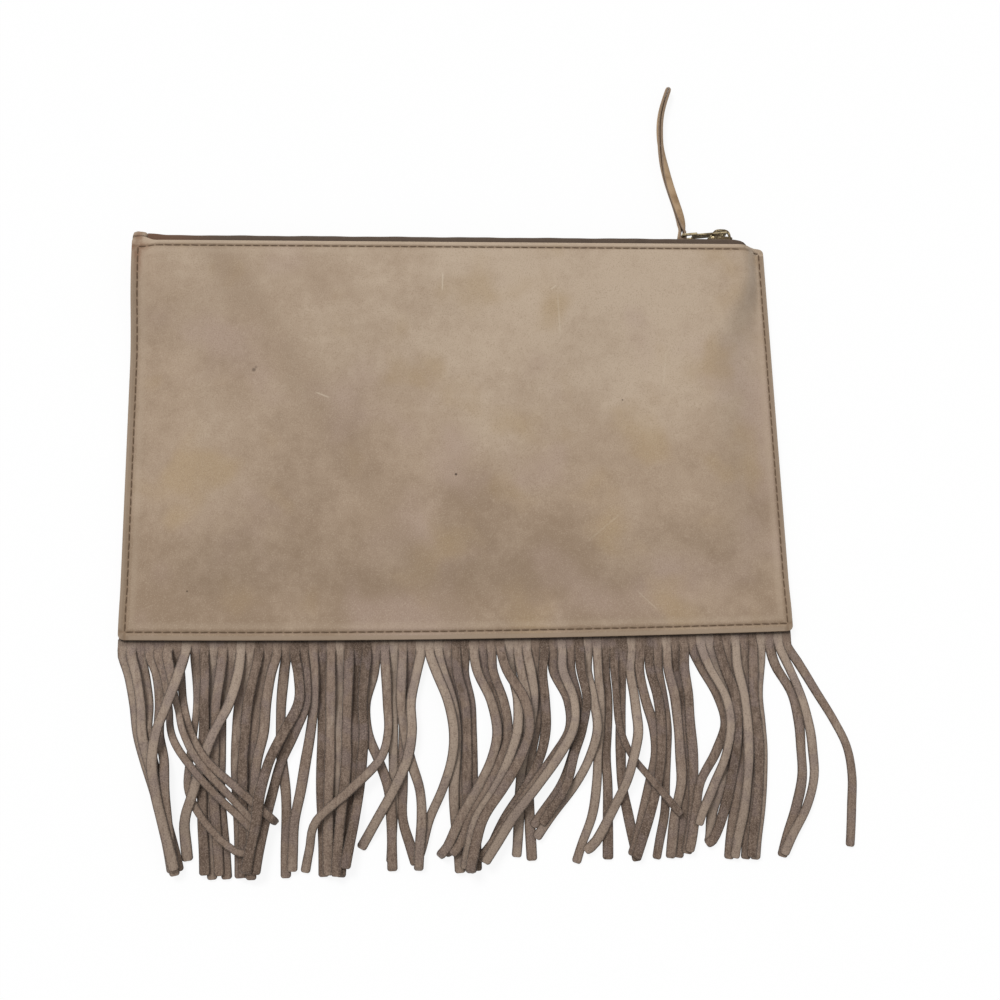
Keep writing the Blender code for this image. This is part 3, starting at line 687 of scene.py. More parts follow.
@dataclass(frozen=True)
class WovenTape(Finish):
    """Dark woven zip tape with ribs along it and the coil's two seams."""

    tone: Tone = (104, 88, 75)
    dark: Tone = (72, 59, 49)
    warm: Tone = (118, 84, 64)
    rib: float = 0.42 * MM
    zip_z: float = 6.8 * MM
    seam_out: float = 3.2 * MM

    def weave(self, graph: Graph) -> Signal:
        """Crossing ribs, from 0 in the dents to 1 on the threads.

        Args:
            graph: The shader's nodes.

        Returns:
            Their height.
        """
        x, y, z = graph.place()
        turns = 2 * math.pi / self.rib
        return 0.5 + 0.25 * (x * turns).sine() + 0.25 * ((y + z) * (turns * 1.35)).sine()

    def colour(self, graph: Graph) -> Signal:
        """Taupe threads with dark dents, redder near the zip's left end.

        Args:
            graph: The shader's nodes.

        Returns:
            The base colour.
        """
        x, _, z = graph.place()
        patches = graph.noise(9 * MM, 61.0, 3)
        seam = abs(abs(z - self.zip_z) - self.seam_out).ramp(0.3 * MM, 0.1 * MM)
        return graph.coats(
            self.dark,
            (self.tone, self.weave(graph)),
            (self.dark, patches.ramp(0.5, 0.75) * 0.35),
            (self.warm, x.ramp(-105 * MM, -140 * MM) * 0.6),
            (self.dark, seam * 0.6),
        )

    def relief(self, graph: Graph) -> Signal:
        """The woven ribs."""
        return graph.bump(self.weave(graph), 0.1 * MM)


@dataclass(frozen=True)
class Nylon(Finish):
    """Dyed nylon filament, a little dusty."""

    tone: Tone = (92, 76, 62)
    dust: Tone = (128, 112, 96)

    def colour(self, graph: Graph) -> Signal:
        """Taupe nylon with dust in places."""
        dust = graph.noise(3 * MM, 71.0, 4, 0.6).ramp(0.5, 0.75)
        return graph.coats(self.tone, (self.dust, dust * 0.6))

    def relief(self, graph: Graph) -> Signal:
        """Faint scuffs."""
        return graph.bump(graph.noise(0.3 * MM, 73.0, 2), 0.02 * MM)


@dataclass(frozen=True)
class AntiqueBrass(Finish):
    """Dark antique brass that is rubbed bright in places."""

    dark: Tone = (66, 59, 46)
    rubbed: Tone = (186, 170, 134)
    brown: Tone = (96, 80, 56)
    worn_from: float = 0.5

    def colour(self, graph: Graph) -> Signal:
        """Dark patina with rubbed brass showing through.

        Args:
            graph: The shader's nodes.

        Returns:
            The base colour.
        """
        wear = graph.noise(2.2 * MM, 81.0, 4, 0.6)
        patina = graph.noise(0.8 * MM, 83.0, 3, 0.6)
        bright = wear.ramp(self.worn_from, self.worn_from + 0.2) * 0.8
        return graph.coats(
            self.dark, (self.brown, patina.ramp(0.35, 0.65)), (self.rubbed, bright)
        )

    def matt(self, graph: Graph) -> Signal:
        """Satin where rubbed, duller in the patina."""
        return 0.5 - 0.18 * graph.noise(2.2 * MM, 81.0, 4, 0.6).ramp(0.5, 0.72)

    def relief(self, graph: Graph) -> Signal:
        """Fine casting grain."""
        return graph.bump(graph.noise(0.4 * MM, 87.0, 3), 0.03 * MM)


@dataclass(frozen=True)
class StrapLeather(Finish):
    """Brown leather strap with a smooth face and raw, greyer cut edges."""

    face: Tone = (172, 145, 114)
    deep: Tone = (140, 113, 84)
    raw: Tone = (150, 129, 108)
    # gap: colour of the painted shadow on the inner faces of the folded strap
    gap: Tone = (58, 41, 28)
    rim: Tone = (104, 82, 62)

    def colour(self, graph: Graph) -> Signal:
        """Brown face with darker patches, fibrous edges and a painted shadow on the inner faces of
        the fold.

        Args:
            graph: The shader's nodes.

        Returns:
            The base colour.
        """
        cut = graph.attribute("rim")
        patches = graph.noise(8 * MM, 91.0, 4, 0.6)
        fibre = graph.noise(0.5 * MM, 93.0, 3, 0.7)
        edge = graph.coats(self.raw, (self.rim, fibre.ramp(0.4, 0.66) * 0.7))
        return graph.coats(
            self.face,
            (self.deep, patches.ramp(0.4, 0.65)),
            (self.deep, fibre.ramp(0.52, 0.7) * 0.4),
            (edge, cut.ramp(0.5, 0.9)),
            # painted shadow on the inner faces of the fold
            (self.gap, graph.attribute("inside").ramp(0.3, 0.9) * 0.9),
        )

    def relief(self, graph: Graph) -> Signal:
        """Grain on the face and fibres on the edges."""
        grain = graph.noise(0.5 * MM, 95.0, 3, 0.65)
        return graph.bump(grain + 0.6 * graph.noise(3 * MM, 97.0, 3), 0.14 * MM)


@dataclass(frozen=True)
class Thread(Finish):
    """Twisted brown sewing thread."""

    tone: Tone = (108, 86, 64)
    dark: Tone = (74, 57, 41)

    def twist(self, graph: Graph) -> Signal:
        """The slanted plies, from 0 to 1."""
        x, y, z = graph.place()
        return 0.5 + 0.5 * ((x - y + z) * (2 * math.pi / (0.55 * MM))).sine()

    def colour(self, graph: Graph) -> Signal:
        """Brown plies with dark grooves."""
        return graph.coats(self.dark, (self.tone, self.twist(graph).ramp(0.1, 0.7)))

    def relief(self, graph: Graph) -> Signal:
        """The plies' ridges."""
        return graph.bump(self.twist(graph), 0.08 * MM)


def link(name: str, data: bpy.types.ID) -> bpy.types.Object:
    """Make an object of its data and link it to the scene.

    Args:
        name: Its name.
        data: Its mesh, lamp or camera.

    Returns:
        The object.
    """
    thing = bpy.data.objects.new(name, data)
    bpy.context.scene.collection.objects.link(thing)
    return thing


def circle(corners: int) -> list[float]:
    """The angles of a regular polygon's corners."""
    return [2 * math.pi * k / corners for k in range(corners)]


class MeshDraft:
    """Points and faces of a piece in the making, in world places."""

    def __init__(self) -> None:
        """Start with nothing."""
        self.points: list[Vector] = []
        self.faces: list[tuple[int, ...]] = []
        self.values: dict[str, list[float]] = {}

    def add(self, point: Vector, **values: float) -> int:
        """Add a point with its stored values, and return its number.

        Args:
            point: Its place.
            values: What is stored on it, by name.

        Returns:
            Its number.
        """
        for name, value in values.items():
            self.values.setdefault(name, []).append(value)
        self.points.append(point)
        return len(self.points) - 1

    def grid(self, rows: Sequence[Sequence[Vector]]) -> None:
        """Add an open surface through rows of points, all of one length.

        Args:
            rows: The rows.
        """
        numbers = [[self.add(point) for point in row] for row in rows]
        for upper, lower in zip(numbers, numbers[1:]):
            for n in range(len(upper) - 1):
                self.faces.append((upper[n], lower[n], lower[n + 1], upper[n + 1]))

    def skin(self, rings: Sequence[Sequence[int]]) -> None:
        """Join rings of numbered points into a closed tube with capped ends.

        Args:
            rings: The rings, each with as many points.
        """
        for near, far in zip(rings, rings[1:]):
            count = len(near)
            for n in range(count):
                m = (n + 1) % count
                self.faces.append((near[n], near[m], far[m], far[n]))
        self.faces.append(tuple(reversed(rings[0])))
        self.faces.append(tuple(rings[-1]))

    def tube(self, path: Sequence[Vector], radius: float, sides: int) -> None:
        """Add a round tube along a path.

        Args:
            path: Its middle line.
            radius: Its radius.
            sides: How many sides it has.
        """
        rings = []
        side = Vector((0, 0, 1))
        for n, point in enumerate(path):
            run = heading(path, n)
            side = (side - run * side.dot(run)).normalized()
            up = run.cross(side)
            outs = [side * math.cos(a) + up * math.sin(a) for a in circle(sides)]
            rings.append([self.add(point + out * radius) for out in outs])
        self.skin(rings)

    def finish(self, name: str, materials: Iterable[bpy.types.Material]) -> bpy.types.Object:
        """Make the object.

        Args:
            name: The piece's name.
            materials: Its materials, the main one first.

        Returns:
            The object, linked to the scene.
        """
        mesh = bpy.data.meshes.new(name)
        mesh.from_pydata([tuple(p) for p in self.points], [], self.faces)
        for key, values in self.values.items():
            stored = mesh.attributes.new(key, "FLOAT", "POINT")
            stored.data.foreach_set("value", values)
        mesh.polygons.foreach_set("use_smooth", [True] * len(mesh.polygons))
        mesh.update()
        for material in materials:
            mesh.materials.append(material)
        return link(name, mesh)


def thicken(thing: bpy.types.Object, thickness: float, offset: float, edge: float) -> None:
    """Give an open surface its thickness and softened edges.

    Args:
        thing: The surface.
        thickness: How thick it becomes.
        offset: 1 to grow along its normals, 0 to grow both ways.
        edge: The width of its softened edges.
    """
    solid = thing.modifiers.new("Thickness", "SOLIDIFY")
    solid.thickness = thickness
    solid.offset = offset
    solid.use_even_offset = True
    solid.material_offset_rim = len(thing.data.materials) - 1
    soften(thing, edge, 50)


def soften(thing: bpy.types.Object, width: float, angle: float) -> None:
    """Round the edges that are sharper than an angle in degrees.

    Args:
        thing: The piece.
        width: How wide they become.
        angle: The angle between their faces.
    """
    soft = thing.modifiers.new("Soft edge", "BEVEL")
    soft.width = width
    soft.segments = 2
    soft.limit_method = "ANGLE"
    soft.angle_limit = math.radians(angle)


def settle(piece: bpy.types.Object, body: Body, slot: str, *nodes: str) -> None:
    """Hang a piece on its body and hide the nodes that it stands for.

    Args:
        piece: The piece.
        body: Its body.
        slot: Its material slot; not used.
        nodes: The nodes that it stands for.
    """
    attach(piece, body.value)
    if nodes:
        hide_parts(*nodes)
    LOG.info("%s rides on %s with %d faces", piece.name, body.value, len(piece.data.polygons))


@dataclass
class LeatherPanels:
    """The two leather panels and the stitches that sew them."""

    lines: PanelLines = field(default_factory=PanelLines)
    corner: float = 2.6 * MM
    front_ear: float = 2.6 * MM
    back_ear: float = 5.1 * MM
    lip: float = 1.7 * MM
    lip_from: float = 2.5 * MM
    lip_run: float = 1.4 * MM
    ear_from: float = 5 * MM
    ear_run: float = 7 * MM
    ear_down: float = 30 * MM
    leather: float = 1.3 * MM
    seam_band: float = 4 * MM
    gap: float = 0.3 * MM
    suede: float = 1.0 * MM
    belly: float = 6.2 * MM
    mouth_inner: float = 11 * MM
    slope_middle: float = 30 * MM
    slope_top: float = 9.2 * MM
    slope_from: float = 35 * MM
    slope_over: float = 45 * MM
    belly_run: float = 45 * MM
    mouth_from: float = -12 * MM
    seam_run: float = 16 * MM
    calm_run: float = 30 * MM
    lift: float = 8.6 * MM
    lift_from: float = 35 * MM
    lift_run: float = 50 * MM
    tuck: float = 8 * MM
    tape_edge_y: float = 82.1 * MM
    wave: float = 0.6 * MM
    waves: tuple[tuple[float, float, float, float], ...] = (
        (62, -38, 0.9, 1.0), (101, 27, 2.2, 0.6),
    )
    cell: float = 2.1 * MM
    edge_lines: tuple[float, ...] = (0, 0.5, 1.2, 2.0, 3.0, 4.2, 5.4, 6.8, 8.4, 10.2)
    edge_round: float = 0.3 * MM
    stitch_length: float = 3.5 * MM
    stitch_thick: float = 0.52 * MM
    stitch_turn: float = 0.06
    stitch_stand: float = 0.12
    stitch_sink: float = 0.22
    stitch_flat: float = 0.7
    stitch_sides: int = 8
    stitch_shape: tuple[tuple[float, float], ...] = (
        (-0.5, 0.3), (-0.42, 0.8), (-0.2, 1.0), (0.2, 1.0), (0.42, 0.8), (0.5, 0.3),
    )
    seed: int = 11

    def curl(self, x: float, y: float) -> float:
        """How far the seam curls up off the table at the zip's left end.

        Args:
            x: Place across the bag.
            y: Place towards the zip.

        Returns:
            The height in metres.
        """
        along = step((y - self.lift_from) / self.lift_run)
        from_side = self.lines.half_width + x
        return self.lift * along * (1 - step((from_side - self.seam_band) / self.slope_top))

    def front_low(self, x: float, y: float) -> float:
        """Height of the front panel's underside.

        Args:
            x: Place across the bag.
            y: Place towards the zip.

        Returns:
            The height in metres.
        """
        from_side = self.lines.half_width - abs(x)
        from_hem = y - self.lines.hem_y(x)
        narrowing = step((y - self.slope_from) / self.slope_over)
        slope = blend(self.slope_middle, self.slope_top, narrowing)
        side = step((from_side - self.seam_band) / slope)
        hem = step((from_hem - self.tuck) / self.belly_run)
        mouth = step((y - self.mouth_from) / (self.tape_edge_y - self.mouth_from))
        rise = self.belly * hem + (self.mouth_inner - self.gap - self.belly) * mouth
        seam_low = self.leather + self.gap
        hem_low = seam_low + self.suede + self.gap
        seam = blend(hem_low, seam_low, step((from_hem - self.tuck - self.gap) / self.seam_run))
        calm = side * step((from_hem - self.tuck) / self.calm_run)
        calm *= step((self.tape_edge_y - y) / self.calm_run)
        wave = sum(share * math.sin(a * x + b * y + start) for a, b, start, share in self.waves)
        lift = self.lift * step((y - self.lift_from) / self.lift_run) if x < 0 else 0.0
        return seam + blend(lift, rise, side) + self.wave * wave * calm

    def flare(self, x: float, y: float, ear: float) -> float:
        """How far the leather is drawn up along Y beside the zip's two ends.

        Args:
            x: Place across the bag.
            y: Place towards the zip.
            ear: How far at the left end.

        Returns:
            The shift in metres.
        """
        from_side = self.lines.half_width + x
        from_top = self.lines.top_y - y
        left = ear * (1 - step((from_side - self.ear_from) / self.ear_run))
        right = self.lines.right_rise * step((x - self.lines.right_from) / self.lines.right_run)
        return (left + right) * (1 - step(from_top / self.ear_down))

    def spread(self, length: float) -> list[float]:
        """Distances from 0 to a length, close together at both ends.

        Args:
            length: The last of them.

        Returns:
            The distances.
        """
        ends = [line * MM for line in self.edge_lines]
        count = round((length - 2 * ends[-1]) / self.cell)
        middle = [ends[-1] + (length - 2 * ends[-1]) * n / count for n in range(1, count)]
        return ends + middle + [length - end for end in reversed(ends)]

    def rows(self, height: Height, ear: float) -> list[list[Vector]]:
        """Rows of points over a panel with rounded corners, from the zip to the hem.

        Args:
            height: Height of the panel's underside.
            ear: How far its left end is drawn up.

        Returns:
            The rows.
        """
        half = self.lines.half_width
        tall = self.lines.top_y - self.lines.hem_y(0)
        rows = []
        for from_top in self.spread(tall):
            from_edge = min(from_top, tall - from_top)
            short = max(self.corner - from_edge, 0)
            reach = half - self.corner + math.sqrt(self.corner**2 - short**2)
            row = []
            for place in self.spread(2 * half):
                x = (place - half) / half * reach
                share = from_top / tall
                y = self.lines.top_y - share * (self.lines.top_y - self.lines.hem_y(x))
                drawn = self.flare(x, y, ear)
                beyond = step((y + drawn - self.lines.top_y - self.lip_from) / self.lip_run)
                row.append(Vector((x, y + drawn, height(x, y) + self.lip * beyond)))
            rows.append(row)
        return rows

    def stitch_places(self) -> list[tuple[float, float, float]]:
        """Middles and headings of the stitches along the four seams.

        Returns:
            The x, y and heading of each.
        """
        lines = self.lines
        left, right = -lines.half_width + lines.left_in, lines.half_width - lines.right_in
        top = lines.top_y - lines.top_in
        places = []
        count = round((right - left) / lines.pitch)
        for n in range(count):
            x = blend(left, right, (n + 0.5) / count)
            places.append((x, top, 0.0))
            places.append((x, lines.hem_y(x) + lines.hem_in, 0.0))
        low = lines.hem_y(left) + lines.hem_in
        count = round((top - low) / lines.pitch)
        for n in range(count):
            y = blend(low, top, (n + 0.5) / count)
            places.append((left, y, math.pi / 2))
            places.append((right, y, math.pi / 2))
        return places

    def stitches(self, name: str, height: Height, up: int) -> bpy.types.Object:
        """Sew a panel with single stitches.

        Args:
            name: The piece's name.
            height: Height of the face that the stitches lie on.
            up: 1 for the top of the bag, -1 for its underside.

        Returns:
            The stitches, as one piece.
        """
        chance = random.Random(self.seed)
        draft = MeshDraft()
        half = self.stitch_length / 2
        for x, y, turn in self.stitch_places():
            turn += chance.uniform(-self.stitch_turn, self.stitch_turn)
            flat = Vector((math.cos(turn), math.sin(turn), 0))
            ends = [height(x + flat.x * s * half, y + flat.y * s * half) for s in (-1, 1)]
            y += self.flare(x, y, 0.0)
            run = (flat * 2 * half + Vector((0, 0, ends[1] - ends[0]))).normalized()
            side = Vector((0, 0, 1)).cross(run).normalized()
            tall = run.cross(side)
            stand = tall * up * self.stitch_thick * self.stitch_stand
            middle = Vector((x, y, sum(ends) / 2)) + stand
            rings = []
            for along, width in self.stitch_shape:
                sink = -up * self.stitch_sink * self.stitch_thick * (1 - width)
                spot = middle + run * along * self.stitch_length + tall * sink
                ring = []
                for a in circle(self.stitch_sides):
                    out = side * math.cos(a) + tall * math.sin(a) * self.stitch_flat
                    ring.append(draft.add(spot + out * width * self.stitch_thick / 2))
                rings.append(ring)
            draft.skin(rings)
        return draft.finish(name, [Thread("sewing_thread", roughness=0.7).dress()])

    def build(self) -> None:
        """Make both panels and their stitches."""
        marks = (
            Spot(-94.4, 30.0, 1.3, 0.55), Spot(-93.4, 31.2, 0.9, 0.35), Spot(-1.5, -20.5, 0.8, 0.9),
            Spot(77.7, 15.7, 0.6, 0.7), Spot(-122.7, -72.8, 0.6, 0.7),
        )
        scratches = (
            Scratch((-6.6, 68.0), (-6.2, 79.0), 0.5, 0.5),
            Scratch((45.0, 69.5), (48.0, 72.0), 0.5, 0.45),
            Scratch((48.1, 70.0), (48.9, 44.0), 0.6, 0.22),
            Scratch((99.5, 41.0), (97.0, 20.0), 0.6, 0.18),
            Scratch((-66.6, 19.3), (-58.8, 16.3), 0.5, 0.45),
            Scratch((79.5, -73.3), (91.2, -84.9), 0.4, 0.22),
            Scratch((56.9, -53.5), (76.1, -38.1), 0.6, 0.12),
        )
        edge = CutEdge("leather_cut_edge", roughness=0.9).dress()
        face = Nubuck(
            "front_nubuck", sheen=0.12, specular=0.25, spots=marks, scratches=scratches,
        ).dress()
        plain = Nubuck("back_nubuck", sheen=0.12, specular=0.25, seed=101.0).dress()
        size = (2 * self.lines.half_width, self.lines.top_y - self.lines.hem_y(0))
        for name, height, finish, ear in (
            ("front_leather", self.front_low, face, self.front_ear),
            ("back_leather", self.curl, plain, self.back_ear),
        ):
            draft = MeshDraft()
            draft.grid(self.rows(height, ear))
            panel = draft.finish(name, [finish, edge])
            thicken(panel, self.leather, 1, self.edge_round)
            settle(panel, Body.BAG, "panel_leather", name.replace("leather", "panel"))
            resting = "back_leather" if name == "front_leather" else "floor"
        for name, height, up in (
            ("front_stitches", lambda x, y: self.front_low(x, y) + self.leather, 1),
            ("back_stitches", self.curl, -1),
        ):
            settle(self.stitches(name, height, up), Body.BAG, "panel_leather")


class Lock(NamedTuple):
    """Strands that lie together, from a first to a last one, in millimetres.

    The places across the bag are those at the fringe's stations, first for the first strand
    and then for the last one where it has its own. Locks of a higher order lie on top.
    """

    first: int
    last: int
    order: int
    width: float
    length: float
    path: tuple[float, ...]
    last_path: tuple[float, ...] | None = None


class Plan(NamedTuple):
    """One strand: its number, laying order, width, length and places across at the stations."""

    number: int
    order: int
    width: float
    length: float
    across: list[float]


@dataclass
class Fringe:
    """The suede fringe: a header caught in the hem and 76 strands in their locks."""

    lines: PanelLines = field(default_factory=PanelLines)
    suede: float = 1.0 * MM
    tuck: float = 8 * MM
    drop: float = 3.3 * MM
    shown_drop: float = -0.6 * MM
    fullness: float = 1.27
    thin_fullness: float = 1.45
    length: float = 100 * MM
    edge: float = 1.0 * MM
    slit: float = 0.4 * MM
    steps: int = 9
    shown_steps: int = 40
    shown_round: float = 1.8 * MM
    root_shift: float = -0.5 * MM
    straight: float = 3 * MM
    tip_round: float = 1.2 * MM
    tip_share: float = 0.55
    tip_carry: float = 0.6
    uneven: float = 1.2 * MM
    hang_run: float = 14 * MM
    clearance: float = 0.15 * MM
    margin: float = 0.05 * MM
    low: float = 1.6 * MM
    cell: float = 0.3 * MM
    oversample: float = 1.6
    beside: float = 45 * MM
    below: float = 120 * MM
    above: float = 20 * MM
    even_width: float = 3.6
    stations: tuple[float, ...] = (15, 28, 41, 53, 66, 79, 91)
    count: int = field(init=False)
    pitch: float = field(init=False)
    width: float = field(init=False)
    sway: list[float] = field(init=False)
    roll: float = 0.16 * MM
    roll_run: float = 20 * MM
    roll_turns: tuple[float, float] = (40, 90)
    ripple: float = 0.05
    ripple_turns: float = 2.3
    thin_below: float = 0.85
    shown_thick: float = 0.97
    tip_shape: tuple[tuple[float, float], ...] = ((0.9, 1.0), (0.45, 0.9), (0.12, 0.72), (0, 0.5))
    section: tuple[tuple[float, float], ...] = (
        (-0.9, 0.0), (0.0, 0.0), (0.9, 0.0), (1.0, 0.4), (0.93, 0.74), (0.76, 0.9),
        (0.0, 1.0), (-0.76, 0.9), (-0.93, 0.74), (-1.0, 0.4),
    )
    header_foot: float = 1 * MM
    header_thick: tuple[float, float] = (0.6, 0.9)
    header_tone: float = 0.3
    seed: int = 1000
    locks: tuple[Lock, ...] = tuple(Lock(*row) for row in (
        (0, 2, 0, 3.6, 100, (-147.5, -144.5, -142.5, -139, -134.5, -130.5, -127.5),
         (-140.5, -138.5, -138.5, -135.5, -131.5, -128.5, -125)),
        (3, 3, 0, 3.5, 98, (-135, -133.5, -133.5, -130.5, -129.8, -128, -126)),
        (4, 4, 2, 2.3, 84, (-131.5, -129.5, -128, -120.5, -109, -95, -84)),
        (5, 5, 2, 2.3, 81, (-128.5, -126, -122, -115.5, -103.5, -91, -79)),
        (6, 6, 2, 2.4, 80, (-125, -123, -119, -111.5, -97, -82, -70)),
        (7, 7, 3, 3.7, 98, (-125, -129.5, -134, -135.5, -133.5, -130, -126.5)),
        (8, 8, 1, 2.3, 93, (-117.8, -117.5, -118.5, -120, -119.5, -112, -99)),
        (9, 12, 0, 3.6, 102, (-114, -114, -113.8, -114.5, -114, -113.5, -112.5),
         (-104, -106.3, -106.5, -106.5, -106.5, -105, -103.5)),
        (13, 13, 1, 3.7, 96, (-99.5, -103, -109.5, -114, -117.5, -121, -120)),
        (14, 17, 0, 3.6, 102, (-96, -99, -99.8, -99.8, -99, -98, -97.5),
         (-85, -87, -88, -90.5, -91.5, -92, -92)),
        (18, 18, 0, 3.6, 102, (-79.5, -80.5, -80.5, -79.8, -78, -77.5, -77.5)),
        (19, 19, 3, 3.7, 101, (-72.8, -72.5, -79, -85, -88.5, -90, -92.5)),
        (20, 20, 1, 3.6, 101, (-69.5, -69.5, -74.5, -80, -83.5, -86.5, -88.8)),
        (21, 21, 0, 3.6, 101, (-66, -66, -67.5, -69.5, -71.5, -74, -74.5)),
        (22, 26, 0, 3.6, 102, (-62.5, -62.3, -62.3, -62.5, -62.5, -62, -61.5),
         (-46.8, -47.5, -48, -48, -49.5, -51.5, -53)),
        (27, 27, 1, 3.5, 100, (-43.5, -44.5, -44, -44.8, -46, -48, -50.5)),
        (28, 28, 1, 3.6, 100, (-39.5, -43.3, -42.3, -37.5, -33, -32, -31.8)),
        (29, 29, 2, 2.8, 100, (-34, -33.5, -33.3, -37, -50, -64.5, -67.5)),
        (30, 30, 0, 3.5, 98, (-30.5, -31, -31, -31, -30.8, -31.5, -32)),
        (31, 31, 1, 3.5, 100, (-27, -27.5, -26, -23.5, -19.5, -18.8, -19.8)),
        (32, 32, 0, 3.5, 99, (-24, -26, -26.5, -26.8, -27, -27, -23.5)),
        (33, 33, 2, 3.6, 92, (-20.5, -23, -22.8, -25, -31, -38.5, -45.5)),
        (34, 34, 1, 3.0, 96, (-11.5, -6.5, -4.2, -5.2, -9.5, -15.5, -19)),
        (35, 38, 0, 3.6, 101, (-8.5, -4.5, -2.8, -3.5, -4.5, -4.2, -3),
         (1, 3.7, 4, 4, 4, 5, 5)),
        (39, 41, 1, 3.5, 94, (7, 12.8, 15.2, 12.5, 6, -2, -8),
         (14, 18.5, 20, 17, 10.5, 2.5, -3)),
        (42, 42, 2, 3.6, 101, (20, 27.5, 29.3, 25, 17, 8, 4)),
        (43, 44, 1, 3.5, 100, (22.5, 24.5, 24, 20, 13.5, 5, 1.5),
         (26.5, 28.5, 27, 22.5, 16, 7.5, 3.5)),
        (45, 45, 0, 3.6, 95, (31, 32, 30, 26.5, 24.8, 24, 23)),
        (46, 46, 0, 3.6, 97, (33.5, 34, 32.5, 30, 28.8, 28.7, 29)),
        (47, 47, 1, 3.5, 97, (36.3, 37, 37, 34, 27, 18, 11.5)),
        (48, 49, 2, 3.5, 97, (41.5, 47.5, 47.8, 40, 30, 19.5, 11),
         (45.5, 50, 49, 42, 32, 21, 13)),
        (50, 51, 1, 3.3, 83, (49.5, 52, 51.5, 48.5, 43, 33, 24),
         (53.5, 55.5, 53.5, 49, 45, 36, 27)),
        (52, 52, 1, 3.3, 88, (57, 58.7, 60, 56.5, 49, 38, 29)),
        (53, 53, 0, 3.3, 99, (61.5, 62, 61.5, 60, 59, 56.5, 51.5)),
        (54, 54, 0, 3.6, 99, (65, 65.5, 64.8, 63.8, 64, 63.5, 63)),
        (55, 55, 2, 2.3, 81, (69, 69.5, 70.5, 75, 84.5, 95, 104)),
        (56, 56, 0, 3.6, 99, (72.5, 71.8, 71, 70.5, 70.5, 72.5, 74.5)),
        (57, 57, 3, 3.5, 94, (76.5, 78, 78.5, 76, 71.5, 64.5, 57)),
        (58, 59, 1, 3.6, 98, (80.8, 82.8, 86, 86.2, 83, 79, 75.5),
         (85.5, 88.5, 89.3, 88.5, 86, 82, 77.5)),
        (60, 60, 0, 3.2, 99, (89.5, 91.3, 92.2, 91.3, 90.2, 89, 86)),
        (61, 63, 0, 3.6, 98, (93.5, 96, 97, 97.2, 97, 93.5, 91.5),
         (101, 102.3, 102.6, 103, 102.5, 101.3, 99)),
        (64, 64, 1, 3.4, 96, (109.5, 116, 118.8, 113.5, 105.5, 102.5, 100)),
        (65, 65, 1, 3.3, 86, (112.5, 118.8, 120.5, 118, 112.5, 105.5, 101)),
        (66, 67, 0, 3.6, 94, (116.5, 121.5, 122.2, 120.5, 116, 110.5, 108.5),
         (119.5, 123.5, 124, 122.5, 119.5, 115.5, 110)),
        (68, 69, 0, 3.6, 99, (122, 125.5, 126.3, 125.5, 123.5, 120.5, 118),
         (125.5, 127.8, 128.5, 128.2, 127, 124.5, 121)),
        (70, 72, 0, 3.6, 100, (129, 130, 131, 131, 130, 128, 125.5),
         (136.8, 134.5, 134.8, 135, 133.8, 131.8, 129.5)),
        (73, 73, 0, 3.6, 101, (143.8, 150.5, 152.8, 152.8, 152.3, 148.5, 143.5)),
        (74, 74, 1, 3.4, 99, (148.8, 154, 156.8, 158, 157.8, 153, 145.5)),
        (75, 75, 0, 3.2, 98, (155, 162, 169, 174, 175.3, 174, 172.5)),
    ))

    def __post_init__(self) -> None:
        """Work out the strands' pitch and width from the bag's."""
        self.count = self.locks[-1].last + 1
        self.pitch = (2 * self.lines.half_width - self.edge) / self.count
        self.width = self.pitch - self.slit
        self.sway = [self.length * n / 100 for n in self.stations]

    def root(self, number: int) -> float:
        """Where a strand leaves the header, across the bag."""
        return (number - (self.count - 1) / 2) * self.pitch + self.root_shift

    def plans(self) -> list[Plan]:
        """Plan each strand of the locks.

        Returns:
            The strands' plans.
        """
        plans = []
        chance = random.Random(self.count)
        for first, last, order, width, length, path, last_path in self.locks:
            for number in range(first, last + 1):
                share = (number - first) / max(last - first, 1)
                across = [blend(a, b, share) * MM for a, b in zip(path, last_path or path)]
                uneven = chance.uniform(-self.uneven, self.uneven)
                wide = self.width * width / self.even_width
                long = self.length * length / 100 + uneven
                plans.append(Plan(number, order, wide, long, across))
        return plans

    def course(self, plan: Plan) -> tuple[list[float], list[float]]:
        """Distances below the hem at which a strand's place is known, and those places.

        Args:
            plan: The strand's plan.

        Returns:
            The distances and the places.
        """
        root = self.root(plan.number)
        known = [self.drop, self.drop + self.straight, *self.sway]
        values = [root, root, *plan.across]
        if plan.length > known[-1]:
            known.append(plan.length)
            values.append(values[-1] + (values[-1] - values[-2]) * self.tip_carry)
        return known, values

    def places(self, plan: Plan) -> tuple[list[float], list[float], list[float]]:
        """Distances below the hem, places across and widths at the laying steps.

        Args:
            plan: The strand's plan.

        Returns:
            The three lists.
        """
        known, values = self.course(plan)
        free = self.drop + self.straight
        end = plan.length - self.tip_round
        body = [blend(free, end, k / self.steps) for k in range(self.steps + 1)]
        downs = [self.drop, *body, plan.length]
        found = [smooth_through(known, values, down) for down in downs]
        widths = [blend(self.width, plan.width, step(down / self.sway[1])) for down in downs]
        widths[-1] = plan.width * self.tip_share
        return downs, found, widths

    def edges(
        self, downs: Sequence[float], across: Sequence[float], widths: Sequence[float]
    ) -> tuple[list[Vector], list[Vector]]:
        """Left and right edge points of a strand, square to its run, without height.

        Args:
            downs: Distances below the hem.
            across: The middle's place at each.
            widths: The strand's width at each.

        Returns:
            The points of the left edge and of the right one.
        """
        points = [Vector((x, self.lines.hem_y(x) - down)) for x, down in zip(across, downs)]
        left, right = [], []
        for n, point in enumerate(points):
            run = heading(points, n) if n else Vector((0, -1))
            side = Vector((-run.y, run.x)) * widths[n] / 2
            left.append(point - side)
            right.append(point + side)
        return left, right

